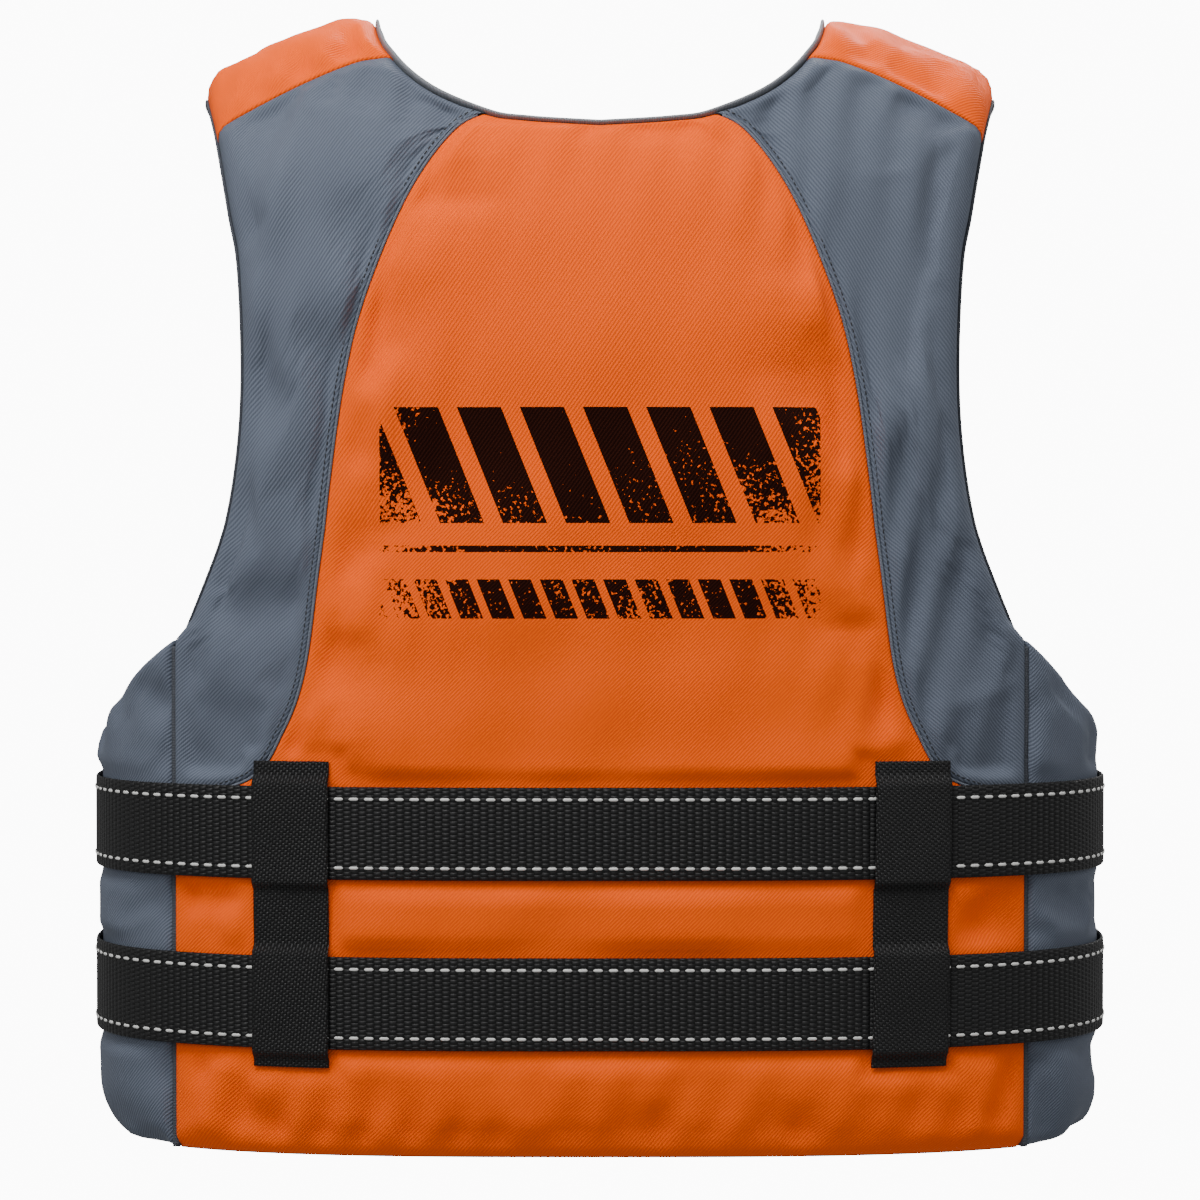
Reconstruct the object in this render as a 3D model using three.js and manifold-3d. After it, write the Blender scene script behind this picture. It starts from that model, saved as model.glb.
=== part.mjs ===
// A buoyancy vest: foam slabs between an outer shell of woven panels and a dark lining, closed
// down the front by a zip and round the waist by two webbing belts with side-release buckles.
// Millimetres. +Z up, the back faces +Y, the front faces -Y, the wearer's left is +X, and the
// hem stands on z = 0.
import * as THREE from "three";
import Module from "manifold-3d";
import { mergeVertices } from "three/addons/utils/BufferGeometryUtils.js";

const wasm = await Module();
wasm.setup();

// ---- torso: a superellipse in plan, rolled over at the shoulders
const torsoHalfWidth = 283;
const torsoHalfDepth = 140;
const planPower = 3;
const rollPower = 3;
const rollStart = 340;      // height where the back and the front begin to roll inwards
const rollLength = 330;     // cloth from there up to the shoulder ridge
const neckPeak = 628;       // top of the shoulders beside the neck
const shoulderDrop = 37;    // fall of the ridge from the neck to the arm
const ridgeFlat = 130;      // the ridge is level out to here
const ridgeRun = 100;       // and falls by shoulderDrop over this distance

// ---- layers, measured inwards from the outer face of the shell
const clothThickness = 1;
const layerGap = 2.2;
const liningGap = 3.6;
const closeGap = 0.6;       // between two layers that follow the same lines
const foamThickness = 24;
const sidePadThickness = 12;
const seamGap = 1.6;        // room for the piping between two panels
const bindingClear = 1;
const bindingThickness = 1.2;

// ---- outlines, as half-width and height
const sideSeamX = 234;
const armholeFoot = 279;
const seamCorner = 190;     // height where the colour seam meets the side seam
const shoulderEnd = 230;
const neckEnd = 128;
const capBackNeck = [113, 600];
const capArm = [216, 557];
const armholePoints = [[sideSeamX, armholeFoot], [221, 307], [210.5, 332], [203, 362], [198.5, 400],
  [198, 440], [201, 486], [207, 515], capArm, [224, 584]];
const backSeamPoints = [[190, 204], [172, 229], [160, 262], [152, 318], [146, 365], [138, 420],
  [127, 464], [104, 520], [79, 556], [61, 566]];
const backNeckPoints = [[0, 559.5], [38, 562], [61, 566], [93, 581], capBackNeck, [123, 618]];
const zipEdgeX = 16;
const frontNeckFoot = 460;
const capFrontNeck = [117, 598];
const padBackNeck = [61, 566];
const padFrontNeck = [84, 531];
const padFrontArm = [210, 529];
const frontSeamPoints = [[190, 204], [172, 229], [160, 262], [152, 318], [143, 380], [126, 440],
  [105, 490], [84, 531]];
const frontNeckPoints = [[zipEdgeX, frontNeckFoot], [32, 467], [60, 492], [84, 531], [103, 568],
  capFrontNeck, [125, 618]];

// ---- side gusset
const gussetLow = 226;      // underarm height at the middle of the side
const gussetPower = 2.3;

// ---- shoulder tab
const tabInner = 152;
const tabOuter = 216;
const tabThickness = 1.6;
const tabBehindRidge = 14;
const tabInFrontOfRidge = 95;

// ---- belts and keepers
const webbingThickness = 2;
const beltWidth = 50;
const beltHeights = { upper: 175.5, lower: 84 };
const beltClear = 1.2;
const keeperInner = 145.5;
const keeperWidth = 41;
const keeperThickness = 1.6;
const keeperBottom = 49;
const keeperTop = 214;
const keeperClear = 0.6;
const keeperRamp = 5;

// ---- zip
const zipY = -118;
const zipBottom = 12;
const zipTop = 452;
const teethHalfGap = 0.6;
const teethWidth = 2.6;
const teethThickness = 4;
const tapeThickness = 1;
const tapeGap = 0.3;
const sliderLength = 22;
const sliderWidth = 11;
const sliderPlate = 1.8;
const sliderClear = 0.5;
const sliderNeck = 0.6;
const stopLength = 4;
const pullLength = 32;
const pullNeck = 5;
const pullWidth = 8;
const pullThickness = 1.8;
const bailRadius = 0.9;
const bailHalf = 2.6;
const bailBelowTop = 6;
const eyeRadius = 1.2;
const eyeWall = 0.9;
const eyeClear = 0.2;
const bailEarWidth = 1;

// ---- side-release buckles
const buckleBack = -142.2;
const buckleThickness = 13;
const buckleHalfHeight = 32;
const femaleStart = -2;
const femaleLength = 44;
const femaleWall = 2.2;
const cavityDepth = 33;
const windowStart = 8;
const windowLength = 17;
const barSlot = 4.5;
const barWidth = 4;
const buckleGap = 1;
const maleLength = 34;
const malePlate = 9;
const maleThroat = 8;
const tongueLength = 24;
const tongueHalf = 6;
const prongThickness = 5;
const prongRoot = 20;
const prongLength = 23;
const prongHead = 5;
const runGap = 0.4;
const tailLength = 68;

// ---- finishes
const finish = (color, roughness, metalness = 0) =>
  () => new THREE.MeshStandardMaterial({ color, roughness, metalness });
const orangeCloth = finish(0xff6a0c, 0.75);
const greyCloth = finish(0x5b626e, 0.8);
const darkLining = finish(0x24262b, 0.85);
const foam = finish(0xd8d6cc, 0.9);
const binding = finish(0x77797c, 0.8);
const blackWebbing = finish(0x121212, 0.7);
const blackPlastic = finish(0x161617, 0.45);
const zipPlastic = finish(0x1b1b1d, 0.5);
const zipMetal = finish(0x8d9094, 0.35, 1);

const vest = new THREE.Group();

function addPiece(name, geometry, material) {
  const mesh = new THREE.Mesh(geometry, material());
  mesh.name = name;
  vest.add(mesh);
  return mesh;
}

// ================================================================ the torso surface
const ridgeLine = rollStart + rollLength;   // cloth height of the shoulder ridge

function planDepth(x) {
  return Math.max(1 - (Math.abs(x) / torsoHalfWidth) ** planPower, 0) ** (1 / planPower);
}

function ridgeHeight(x) {
  return neckPeak - shoulderDrop * (Math.max(Math.abs(x) - ridgeFlat, 0) / ridgeRun) ** 1.3;
}

// The point at half-width x and cloth height h, which runs up the back, over the ridge and down
// the front.
function shellPoint(x, h) {
  const depth = torsoHalfDepth * planDepth(x);
  const angle = (h - rollStart) / rollLength * Math.PI / 2;
  if (angle <= 0) return new THREE.Vector3(x, depth, h);
  if (angle >= Math.PI) return new THREE.Vector3(x, -depth, 2 * ridgeLine - h);
  const cos = Math.cos(angle);
  const sin = Math.sin(angle);
  const reach = (Math.abs(cos) ** rollPower + sin ** rollPower) ** (-1 / rollPower);
  return new THREE.Vector3(x, depth * cos * reach, rollStart + (ridgeHeight(x) - rollStart) * sin * reach);
}

function clothHeight(x, z) {
  if (z <= rollStart) return z;
  const t = Math.min((z - rollStart) / (ridgeHeight(x) - rollStart), 1 - 1e-9);
  return rollStart + rollLength * Math.atan(t / (1 - t ** rollPower) ** (1 / rollPower)) * 2 / Math.PI;
}

// The position and outward normal of a surface given as a function of two parameters.
function framed(place, a, b) {
  const step = 0.5;
  const along = place(a + step, b).sub(place(a - step, b));
  const up = place(a, b + step).sub(place(a, b - step));
  return { point: place(a, b), normal: up.cross(along).normalize() };
}

const onShell = ([x, h]) => framed(shellPoint, x, h);

// ================================================================ curves on the cloth, as [x, h]
function clothCurve(points, last = null) {
  const flat = points.map(([x, z]) => new THREE.Vector2(x, clothHeight(x, z)));
  if (last) flat.push(new THREE.Vector2(...last));
  const spline = new THREE.SplineCurve(flat);
  return (t) => spline.getPointAt(t).toArray();
}

function line(from, to) {
  return (t) => [THREE.MathUtils.lerp(from[0], to[0], t), THREE.MathUtils.lerp(from[1], to[1], t)];
}

// Two curves end to end: the first takes the parameter up to the share.
function chain(first, second, share = 0.5) {
  return (t) => (t <= share ? first(t / share) : second((t - share) / (1 - share)));
}

// A curve moved sideways by a distance, to its right as it runs when the distance is positive.
function inset(curve, distance) {
  return (t) => {
    const a = curve(Math.max(t - 0.004, 0));
    const b = curve(Math.min(t + 0.004, 1));
    const length = Math.hypot(b[0] - a[0], b[1] - a[1]);
    const [x, h] = curve(t);
    return [x + distance * (b[1] - a[1]) / length, h - distance * (b[0] - a[0]) / length];
  };
}

// The stretch of a curve between two parameters.
function stretch(curve, from, to) {
  return (t) => curve(from + (to - from) * t);
}

// The height of a curve above each half-width, from points sampled along it.
function heightOver(curve, samples = 60) {
  const found = steps(samples).map(curve);
  return (x) => {
    const at = found.findIndex(([px]) => px >= Math.abs(x));
    if (at <= 0) return found[at < 0 ? samples : 0][1];
    const [x0, h0] = found[at - 1];
    const [x1, h1] = found[at];
    return h0 + (h1 - h0) * (Math.abs(x) - x0) / (x1 - x0);
  };
}

function steps(count, from = 0, to = 1) {
  return Array.from({ length: count + 1 }, (_, i) => from + (to - from) * i / count);
}

// Steps up an edge whose lower part ends at the share of its parameter.
const bentRows = (low, high, share = 0.5) => [...steps(low, 0, share), ...steps(high, share, 1).slice(1)];

// Columns that end at chosen half-widths of a panel's top edge, on both sides of the middle or
// on one side of the zip.
const bothSides = (widths, end) => [...widths.slice(1).reverse().map((x) => -x), ...widths]
  .map((x) => 0.5 + 0.5 * x / end);
const oneSide = (widths, start, end) => widths.map((x) => (x - start) / (end - start));

const onFront = (curve) => (t) => {
  const [x, h] = curve(t);
  return [x, 2 * ridgeLine - h];
};
const onSide = (side, curve) => (t) => {
  const [x, h] = curve(t);
  return [side * x, h];
};

const armhole = clothCurve(armholePoints, [shoulderEnd, ridgeLine]);
const sideSeam = line([sideSeamX, 0], [sideSeamX, armholeFoot]);
const lowSeam = line([sideSeamX, 0], [sideSeamX, seamCorner]);
const backSeam = clothCurve([[sideSeamX, seamCorner + 0.5], ...backSeamPoints]);
const frontSeam = clothCurve([[sideSeamX, seamCorner + 0.5], ...frontSeamPoints]);
const backNeck = clothCurve(backNeckPoints, [neckEnd, ridgeLine]);
const frontNeck = clothCurve(frontNeckPoints, [neckEnd, ridgeLine]);
const shoulderRidge = line([neckEnd, ridgeLine], [shoulderEnd + 20, ridgeLine]);

// ================================================================ solids
function closedGeometry(positions, index) {
  let volume = 0;
  const corner = (i) => new THREE.Vector3(...positions[i]);
  for (let i = 0; i < index.length; i += 3) {
    const [a, b, c] = [0, 1, 2].map((k) => corner(index[i + k]));
    volume += a.dot(b.cross(c));
  }
  const geometry = new THREE.BufferGeometry();
  geometry.setAttribute("position", new THREE.Float32BufferAttribute(positions.flat(), 3));
  geometry.setIndex(volume < 0 ? index.reverse() : index);
  return geometry;
}

// A slab over a patch of surface: two offset copies of its grid and a wall round the four edges.
function slab(surface, us, vs, inner, outer) {
  const positions = [];
  const offset = (value, u, v) => (typeof value === "function" ? value(u, v) : value);
  for (const face of [outer, inner]) {
    for (const v of vs) {
      for (const u of us) {
        const { point, normal } = surface(u, v);
        positions.push(point.addScaledVector(normal, offset(face, u, v)).toArray());
      }
    }
  }
  const wide = us.length;
  const count = wide * vs.length;
  const index = [];
  const quad = (a, b, c, d) => index.push(a, b, c, a, c, d);
  for (let j = 0; j + 1 < vs.length; j += 1) {
    for (let i = 0; i + 1 < wide; i += 1) {
      const a = j * wide + i;
      quad(a, a + wide, a + wide + 1, a + 1);
      quad(count + a, count + a + 1, count + a + wide + 1, count + a + wide);
    }
  }
  const wall = (a, b) => quad(a, b, count + b, count + a);
  for (let i = 0; i + 1 < wide; i += 1) {
    wall(i, i + 1);
    wall(count - wide + i + 1, count - wide + i);
  }
  for (let j = 0; j + 1 < vs.length; j += 1) {
    wall((j + 1) * wide, j * wide);
    wall(j * wide + wide - 1, (j + 1) * wide + wide - 1);
  }
  return closedGeometry(positions, index);
}

// A cloth panel between a left and a right edge; a top edge lifts the last row on to itself.
function panel(left, right, topEdge = null) {
  const [x0, h0] = left(1);
  const [x1, h1] = right(1);
  return (u, v) => {
    const a = left(v);
    const b = right(v);
    const x = THREE.MathUtils.lerp(a[0], b[0], u);
    let h = THREE.MathUtils.lerp(a[1], b[1], u);
    if (topEdge) {
      const top = THREE.MathUtils.lerp(x0, x1, u);
      h += v * (topEdge(top) - THREE.MathUtils.lerp(h0, h1, u));
    }
    return onShell([x, h]);
  };
}

// A flat convex section carried along stations, each an origin with two directions.
function sweep(stations, section) {
  const positions = [];
  for (const { origin, across, out } of stations) {
    for (const [a, b] of section) {
      positions.push(origin.clone().addScaledVector(across, a).addScaledVector(out, b).toArray());
    }
  }
  const n = section.length;
  const index = [];
  for (let s = 0; s + 1 < stations.length; s += 1) {
    for (let k = 0; k < n; k += 1) {
      const a = s * n + k;
      const b = s * n + (k + 1) % n;
      index.push(a, b, b + n, a, b + n, a + n);
    }
  }
  const last = (stations.length - 1) * n;
  for (let k = 1; k + 1 < n; k += 1) {
    index.push(0, k + 1, k, last, last + k, last + k + 1);
  }
  return closedGeometry(positions, index);
}

// A band that closes the cut edge of the shell, standing clear of it.
function edgeBand(curve, ts, outwards, depth) {
  const stations = ts.map((t) => {
    const { point, normal } = onShell(curve(t));
    const before = onShell(curve(Math.max(t - 0.004, 0))).point;
    const after = onShell(curve(Math.min(t + 0.004, 1))).point;
    const across = normal.clone().cross(after.sub(before)).normalize().multiplyScalar(outwards);
    return { origin: point, across, out: normal };
  });
  const far = bindingClear + bindingThickness;
  const lip = [[bindingClear, bindingThickness], [far, bindingThickness]];
  return sweep(stations, [...lip, [far, -depth], [bindingClear, -depth]]);
}

// Webbing on edge: a strip of a given height that follows a path of [x, y].
function ribbon(path, height, centre, thickness = webbingThickness) {
  const stations = path.map((place, i) => {
    const a = path[Math.max(i - 1, 0)];
    const b = path[Math.min(i + 1, path.length - 1)];
    const out = new THREE.Vector3(b[1] - a[1], a[0] - b[0], 0).normalize();
    return { origin: new THREE.Vector3(place[0], place[1], centre), across: new THREE.Vector3(0, 0, 1), out };
  });
  const h = height / 2;
  const t = thickness / 2;
  return sweep(stations, [[-h, -t], [h, -t], [h, t], [-h, t]]);
}

function block(x0, x1, y0, y1, z0, z1) {
  const geometry = new THREE.BoxGeometry(x1 - x0, y1 - y0, z1 - z0);
  return geometry.translate((x0 + x1) / 2, (y0 + y1) / 2, (z0 + z1) / 2);
}

function solid(geometry) {
  const bare = geometry.clone();
  bare.deleteAttribute("normal");
  bare.deleteAttribute("uv");
  const merged = mergeVertices(bare, 1e-4);
  return new wasm.Manifold(new wasm.Mesh({
    numProp: 3,
    vertProperties: new Float32Array(merged.attributes.position.array),
    triVerts: new Uint32Array(merged.index.array),
  }));
}

function toGeometry(manifold) {
  const mesh = manifold.getMesh();
  const geometry = new THREE.BufferGeometry();
  geometry.setAttribute("position", new THREE.BufferAttribute(mesh.vertProperties, 3));
  geometry.setIndex(new THREE.BufferAttribute(mesh.triVerts, 1));
  return geometry;
}

// A moulded plate with rounded corners, its outline in x and z, between two depths.
function plate(x0, x1, halfHeight, y0, y1, radius, bevel) {
  const a = x0 + bevel;
  const b = x1 - bevel;
  const h = halfHeight - bevel;
  const shape = new THREE.Shape();
  shape.moveTo(a + radius, -h);
  shape.lineTo(b - radius, -h);
  shape.quadraticCurveTo(b, -h, b, -h + radius);
  shape.lineTo(b, h - radius);
  shape.quadraticCurveTo(b, h, b - radius, h);
  shape.lineTo(a + radius, h);
  shape.quadraticCurveTo(a, h, a, h - radius);
  shape.lineTo(a, -h + radius);
  shape.quadraticCurveTo(a, -h, a + radius, -h);
  const geometry = new THREE.ExtrudeGeometry(shape, {
    depth: y1 - y0 - 2 * bevel, bevelThickness: bevel, bevelSize: bevel, bevelSegments: 1, curveSegments: 3,
  });
  return geometry.rotateX(Math.PI / 2).translate(0, y1 - bevel, 0);
}

// ================================================================ foam, shell panels and lining
const foamOuter = -(clothThickness + layerGap);
const foamInner = foamOuter - foamThickness;
const liningOuter = foamInner - liningGap;
const liningInner = liningOuter - clothThickness;
const edgeDepth = -liningInner;
const halfSeam = seamGap / 2;
const backTop = heightOver(chain(backNeck, shoulderRidge));
const frontTop = heightOver(chain(frontNeck, shoulderRidge));
const mirrored = (curve) => onSide(-1, curve);

function backSlab(edge, top, inner, outer, columns, rows) {
  return slab(panel(mirrored(edge), edge, top), columns, rows, inner, outer);
}

// The parameter of a curve where it passes nearest to a half-width and height.
function nearest(curve, [x, z]) {
  const h = clothHeight(x, z);
  const away = (t) => Math.hypot(curve(t)[0] - x, curve(t)[1] - h);
  return steps(400).reduce((best, t) => (away(t) < away(best) ? t : best), 0);
}

// The main slabs stop below the shoulders, where separate pads carry on over the ridge.
const edgeClear = 0.2;
const padGap = 1;
const neckClear = 2.5;

function mainSlabEdges(neck, shoulderNeck, shoulderArm) {
  const armEnd = nearest(armhole, shoulderArm);
  const neckStop = nearest(neck, shoulderNeck);
  const top = chain(stretch(neck, 0, neckStop), line(neck(neckStop), armhole(armEnd)));
  const edge = inset(chain(sideSeam, stretch(armhole, 0, armEnd)), -edgeClear);
  return { edge, top: heightOver(inset(top, neckClear)) };
}

const slabRows = bentRows(1, 12);
const backMain = mainSlabEdges(backNeck, padBackNeck, capArm);
const backColumns = bothSides([0, 31, 61, 110, 155, 190, capArm[0]], capArm[0]);
const backLayer = (inner, outer) =>
  backSlab(backMain.edge, backMain.top, inner, outer, backColumns, slabRows);
addPiece("back_foam", backLayer(foamInner, foamOuter), foam);
addPiece("back_lining", backLayer(liningInner, liningOuter), darkLining);

const centreEdge = inset(chain(lowSeam, backSeam), -halfSeam);
const seamRows = 16;
const centreColumns = bothSides([0, 60, 115, 160, 190, 213, sideSeamX], sideSeamX);
const backCentre = backSlab(centreEdge, backTop, -clothThickness, 0, centreColumns, bentRows(1, seamRows));
addPiece("back_centre_panel", backCentre, orangeCloth);

const yokeStart = 1 / seamRows;
const seamShare = 0.78;
const underarmShare = 0.21;
const armholeAtCap = nearest(armhole, capArm);

function yokeSlab(side, seam, neck, capNeck, place) {
  const neckFrom = nearest(neck, neckPoint(seam));
  const neckTo = nearest(neck, capNeck);
  const seamThenNeck = chain(stretch(seam, yokeStart, 1), stretch(neck, neckFrom, neckTo), seamShare);
  const inner = inset(seamThenNeck, halfSeam);
  const low = inset(line([sideSeamX, inner(0)[1]], [sideSeamX, armholeFoot]), -edgeClear);
  const outer = chain(low, inset(stretch(armhole, 0, armholeAtCap), -edgeClear), underarmShare);
  const lowered = (curve) => (t) => [curve(t)[0], curve(t)[1] - halfSeam * t];
  const surface = panel(onSide(side, place(lowered(inner))), onSide(side, place(lowered(outer))));
  return slab(surface, steps(5), bentRows(seamRows - 1, 7, seamShare), -clothThickness, 0);
}

// Where a colour seam ends on the neckline, as half-width and height.
function neckPoint(seam) {
  const [x, h] = seam(1);
  return [x, shellPoint(x, h).z];
}

const asBack = (curve) => curve;
for (const [side, hand] of [[1, "left"], [-1, "right"]]) {
  addPiece(`back_side_panel_${hand}`, yokeSlab(side, backSeam, backNeck, capBackNeck, asBack), greyCloth);
  addPiece(`front_yoke_${hand}`, yokeSlab(side, frontSeam, frontNeck, capFrontNeck, onFront), greyCloth);
}

const zipEdge = line([zipEdgeX, 0], [zipEdgeX, clothHeight(zipEdgeX, frontNeckFoot)]);
const frontMain = mainSlabEdges(frontNeck, padFrontNeck, padFrontArm);
const frontWidths = [zipEdgeX, 32, 50, 68, padFrontNeck[0], 125, 165, 190, padFrontArm[0]];
const frontColumns = oneSide(frontWidths, zipEdgeX, padFrontArm[0]);
const frontSeamColumns = steps(8);
const flip = (top) => (x) => 2 * ridgeLine - top(x);

function frontSlab(side, outerEdge, top, inner, outer, columns, rows) {
  const surface = panel(onSide(side, onFront(zipEdge)), onSide(side, onFront(outerEdge)), flip(top));
  return slab(surface, columns, rows, inner, outer);
}

for (const [side, hand] of [[1, "left"], [-1, "right"]]) {
  const layer = (inner, outer) =>
    frontSlab(side, frontMain.edge, frontMain.top, inner, outer, frontColumns, slabRows);
  addPiece(`front_foam_${hand}`, layer(foamInner, foamOuter), foam);
  addPiece(`front_lining_${hand}`, layer(liningInner, liningOuter), darkLining);
  const frontCentre = inset(chain(lowSeam, frontSeam), -halfSeam);
  const rows = bentRows(1, seamRows);
  const cover = frontSlab(side, frontCentre, frontTop, -clothThickness, 0, frontSeamColumns, rows);
  addPiece(`front_panel_${hand}`, cover, orangeCloth);
}

// ================================================================ shoulders
// A curve that runs up one from a point on the back, over the ridge and down another to a point
// on the front.
function overShoulder(back, backPoint, front, frontPoint) {
  const down = stretch(front, nearest(front, frontPoint), 1);
  return chain(stretch(back, nearest(back, backPoint), 1), (t) => onFront(down)(1 - t));
}

// A patch over one shoulder, from a line on the back to a line on the front.
function shoulderPatch(side, back, front, trim) {
  const neckEdge = inset(overShoulder(backNeck, back.neck, frontNeck, front.neck), trim.neck);
  const armEdge = inset(overShoulder(armhole, back.arm, armhole, front.arm), -edgeClear);
  const trimmed = (curve) => (t) => [curve(t)[0], curve(t)[1] + trim.ends * (1 - 2 * t)];
  return panel(onSide(side, trimmed(neckEdge)), onSide(side, trimmed(armEdge)));
}

for (const [side, hand] of [[1, "left"], [-1, "right"]]) {
  const cap = shoulderPatch(side, { neck: capBackNeck, arm: capArm }, { neck: capFrontNeck, arm: capArm },
    { neck: 0, ends: halfSeam });
  addPiece(`shoulder_cap_${hand}`, slab(cap, steps(4), steps(16), -clothThickness, 0), orangeCloth);
  const padBack = { neck: padBackNeck, arm: capArm };
  const padFront = { neck: padFrontNeck, arm: padFrontArm };
  const pad = shoulderPatch(side, padBack, padFront, { neck: neckClear, ends: padGap });
  addPiece(`shoulder_pad_${hand}`, slab(pad, steps(4), steps(16), foamInner, foamOuter), foam);
  addPiece(`shoulder_lining_${hand}`, slab(pad, steps(4), steps(16), liningInner, liningOuter), darkLining);
  const tabHem = ridgeLine - tabBehindRidge;
  const tabEdge = (x) => line([side * x, tabHem], [side * x, ridgeLine + tabInFrontOfRidge]);
  const tab = panel(tabEdge(tabInner), tabEdge(tabOuter));
  const tabSlab = slab(tab, steps(3), steps(8), closeGap, closeGap + tabThickness);
  addPiece(`shoulder_tab_${hand}`, tabSlab, orangeCloth);
}

// ================================================================ bindings round the armholes and the neck
for (const [side, hand] of [[1, "left"], [-1, "right"]]) {
  const loop = onSide(side, chain(armhole, (t) => onFront(armhole)(1 - t)));
  addPiece(`armhole_binding_${hand}`, edgeBand(loop, steps(40, 0.012, 0.988), side, edgeDepth), binding);
}

const halfNeck = chain((t) => onFront(frontNeck)(t), (t) => backNeck(1 - t));
const wholeNeck = (t) => (t < 0.5 ? halfNeck(2 * t) : onSide(-1, halfNeck)(2 - 2 * t));
addPiece("neck_binding", edgeBand(wholeNeck, steps(80), 1, edgeDepth), binding);

// ================================================================ side gussets
function planPoint(angle, offset = 0) {
  const sin = Math.sin(angle);
  const cos = Math.cos(angle);
  const reach = (Math.abs(sin) ** planPower + Math.abs(cos) ** planPower) ** (-1 / planPower);
  const place = [torsoHalfWidth * sin * reach, torsoHalfDepth * cos * reach];
  const nx = Math.sign(place[0]) * (Math.abs(place[0]) / torsoHalfWidth) ** (planPower - 1) / torsoHalfWidth;
  const ny = Math.sign(place[1]) * (Math.abs(place[1]) / torsoHalfDepth) ** (planPower - 1) / torsoHalfDepth;
  const length = Math.hypot(nx, ny);
  return [place[0] + offset * nx / length, place[1] + offset * ny / length];
}

function planAngle(x) {
  return Math.atan2(x / torsoHalfWidth, planDepth(x));
}

const seamDepth = torsoHalfDepth * planDepth(sideSeamX);

function gussetSurface(side, margin, topMargin) {
  const start = planAngle(sideSeamX + margin);
  return (u, v) => {
    const angle = start + (Math.PI - 2 * start) * u;
    const [x, y] = planPoint(angle);
    const [nx, ny] = planPoint(angle, 1);
    const rise = (Math.abs(y) / seamDepth) ** gussetPower;
    const top = gussetLow + (armholeFoot - gussetLow) * rise - topMargin;
    return {
      point: new THREE.Vector3(side * x, y, top * v),
      normal: new THREE.Vector3(side * (nx - x), ny - y, 0),
    };
  };
}

const padMargin = 3;
for (const [side, hand] of [[1, "left"], [-1, "right"]]) {
  const cover = slab(gussetSurface(side, seamGap, 0), steps(14), steps(2), -clothThickness, 0);
  addPiece(`side_gusset_${hand}`, cover, greyCloth);
  const padOuter = -(clothThickness + closeGap);
  const padInner = padOuter - sidePadThickness;
  const pad = slab(gussetSurface(side, padMargin, 2), steps(14), steps(2), padInner, padOuter);
  addPiece(`side_pad_${hand}`, pad, foam);
}

// ================================================================ belts
const beltMiddle = beltClear + webbingThickness / 2;
const buckleY = buckleBack - buckleThickness / 2;
const femaleEnd = femaleStart + femaleLength;
const maleStart = femaleStart - buckleGap - maleLength;
const leadFixed = -(keeperInner - 2);

// The belt's middle line from one front half-width, round the back, to the other.
function beltPath(fromX, toX, count) {
  const first = Math.PI - planAngle(fromX);
  const last = -(Math.PI - planAngle(-toX));
  return steps(count, first, last).map((angle) => planPoint(angle, beltMiddle));
}

for (const [name, height] of Object.entries(beltHeights)) {
  const joinX = femaleEnd + 30;
  const round = beltPath(joinX, leadFixed, 64);
  const belt = [[femaleEnd + runGap, buckleY], [femaleEnd + 12, buckleY + 2], ...round];
  addPiece(`${name}_belt`, ribbon(belt, beltWidth, height), blackWebbing);
  const leadStart = planPoint(Math.PI + planAngle(-leadFixed + runGap * 2), beltMiddle);
  const leadJoin = planPoint(Math.PI + planAngle(-leadFixed - 50), beltMiddle);
  const leadMiddle = [leadFixed + 25, (leadStart[1] + leadJoin[1]) / 2];
  const leadEnd = [[maleStart - 14, buckleY + 2], [maleStart - runGap, buckleY]];
  const lead = [[leadFixed + runGap, leadStart[1]], leadMiddle, leadJoin, ...leadEnd];
  addPiece(`${name}_belt_lead`, ribbon(lead.reverse(), beltWidth, height), blackWebbing);
}

// ================================================================ keepers
const beltOuter = beltClear + webbingThickness;

// How far a keeper stands off the shell at a height: it rides over each belt and is sewn down
// between them and at its ends.
function keeperRise(height) {
  let rise = 0;
  for (const centre of Object.values(beltHeights)) {
    const away = Math.abs(height - centre) - beltWidth / 2 - 1;
    rise = Math.max(rise, Math.min(Math.max(1 - away / keeperRamp, 0), 1));
  }
  return beltClear / 2 + rise * (beltOuter + keeperClear - beltClear / 2);
}

const keeperHeights = [keeperBottom];
for (const centre of [beltHeights.lower, beltHeights.upper]) {
  const reach = beltWidth / 2 + 1;
  const edges = [-reach - keeperRamp, -reach, 0, reach, reach + keeperRamp];
  keeperHeights.push(...edges.map((edge) => centre + edge));
}
keeperHeights.push(keeperTop);
const keeperRows = keeperHeights
  .filter((height) => height >= keeperBottom && height <= keeperTop)
  .map((height) => (height - keeperBottom) / (keeperTop - keeperBottom));

for (const [face, place] of [["back", asBack], ["front", onFront]]) {
  for (const [side, hand] of [[1, "left"], [-1, "right"]]) {
    const edge = (x) => onSide(side, place(line([x, keeperBottom], [x, keeperTop])));
    const strap = panel(edge(keeperInner), edge(keeperInner + keeperWidth));
    const inner = (u, v) => keeperRise(THREE.MathUtils.lerp(keeperBottom, keeperTop, v));
    const outer = (u, v) => inner(u, v) + keeperThickness;
    addPiece(`${face}_keeper_${hand}`, slab(strap, steps(3), keeperRows, inner, outer), blackWebbing);
  }
}

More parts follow.
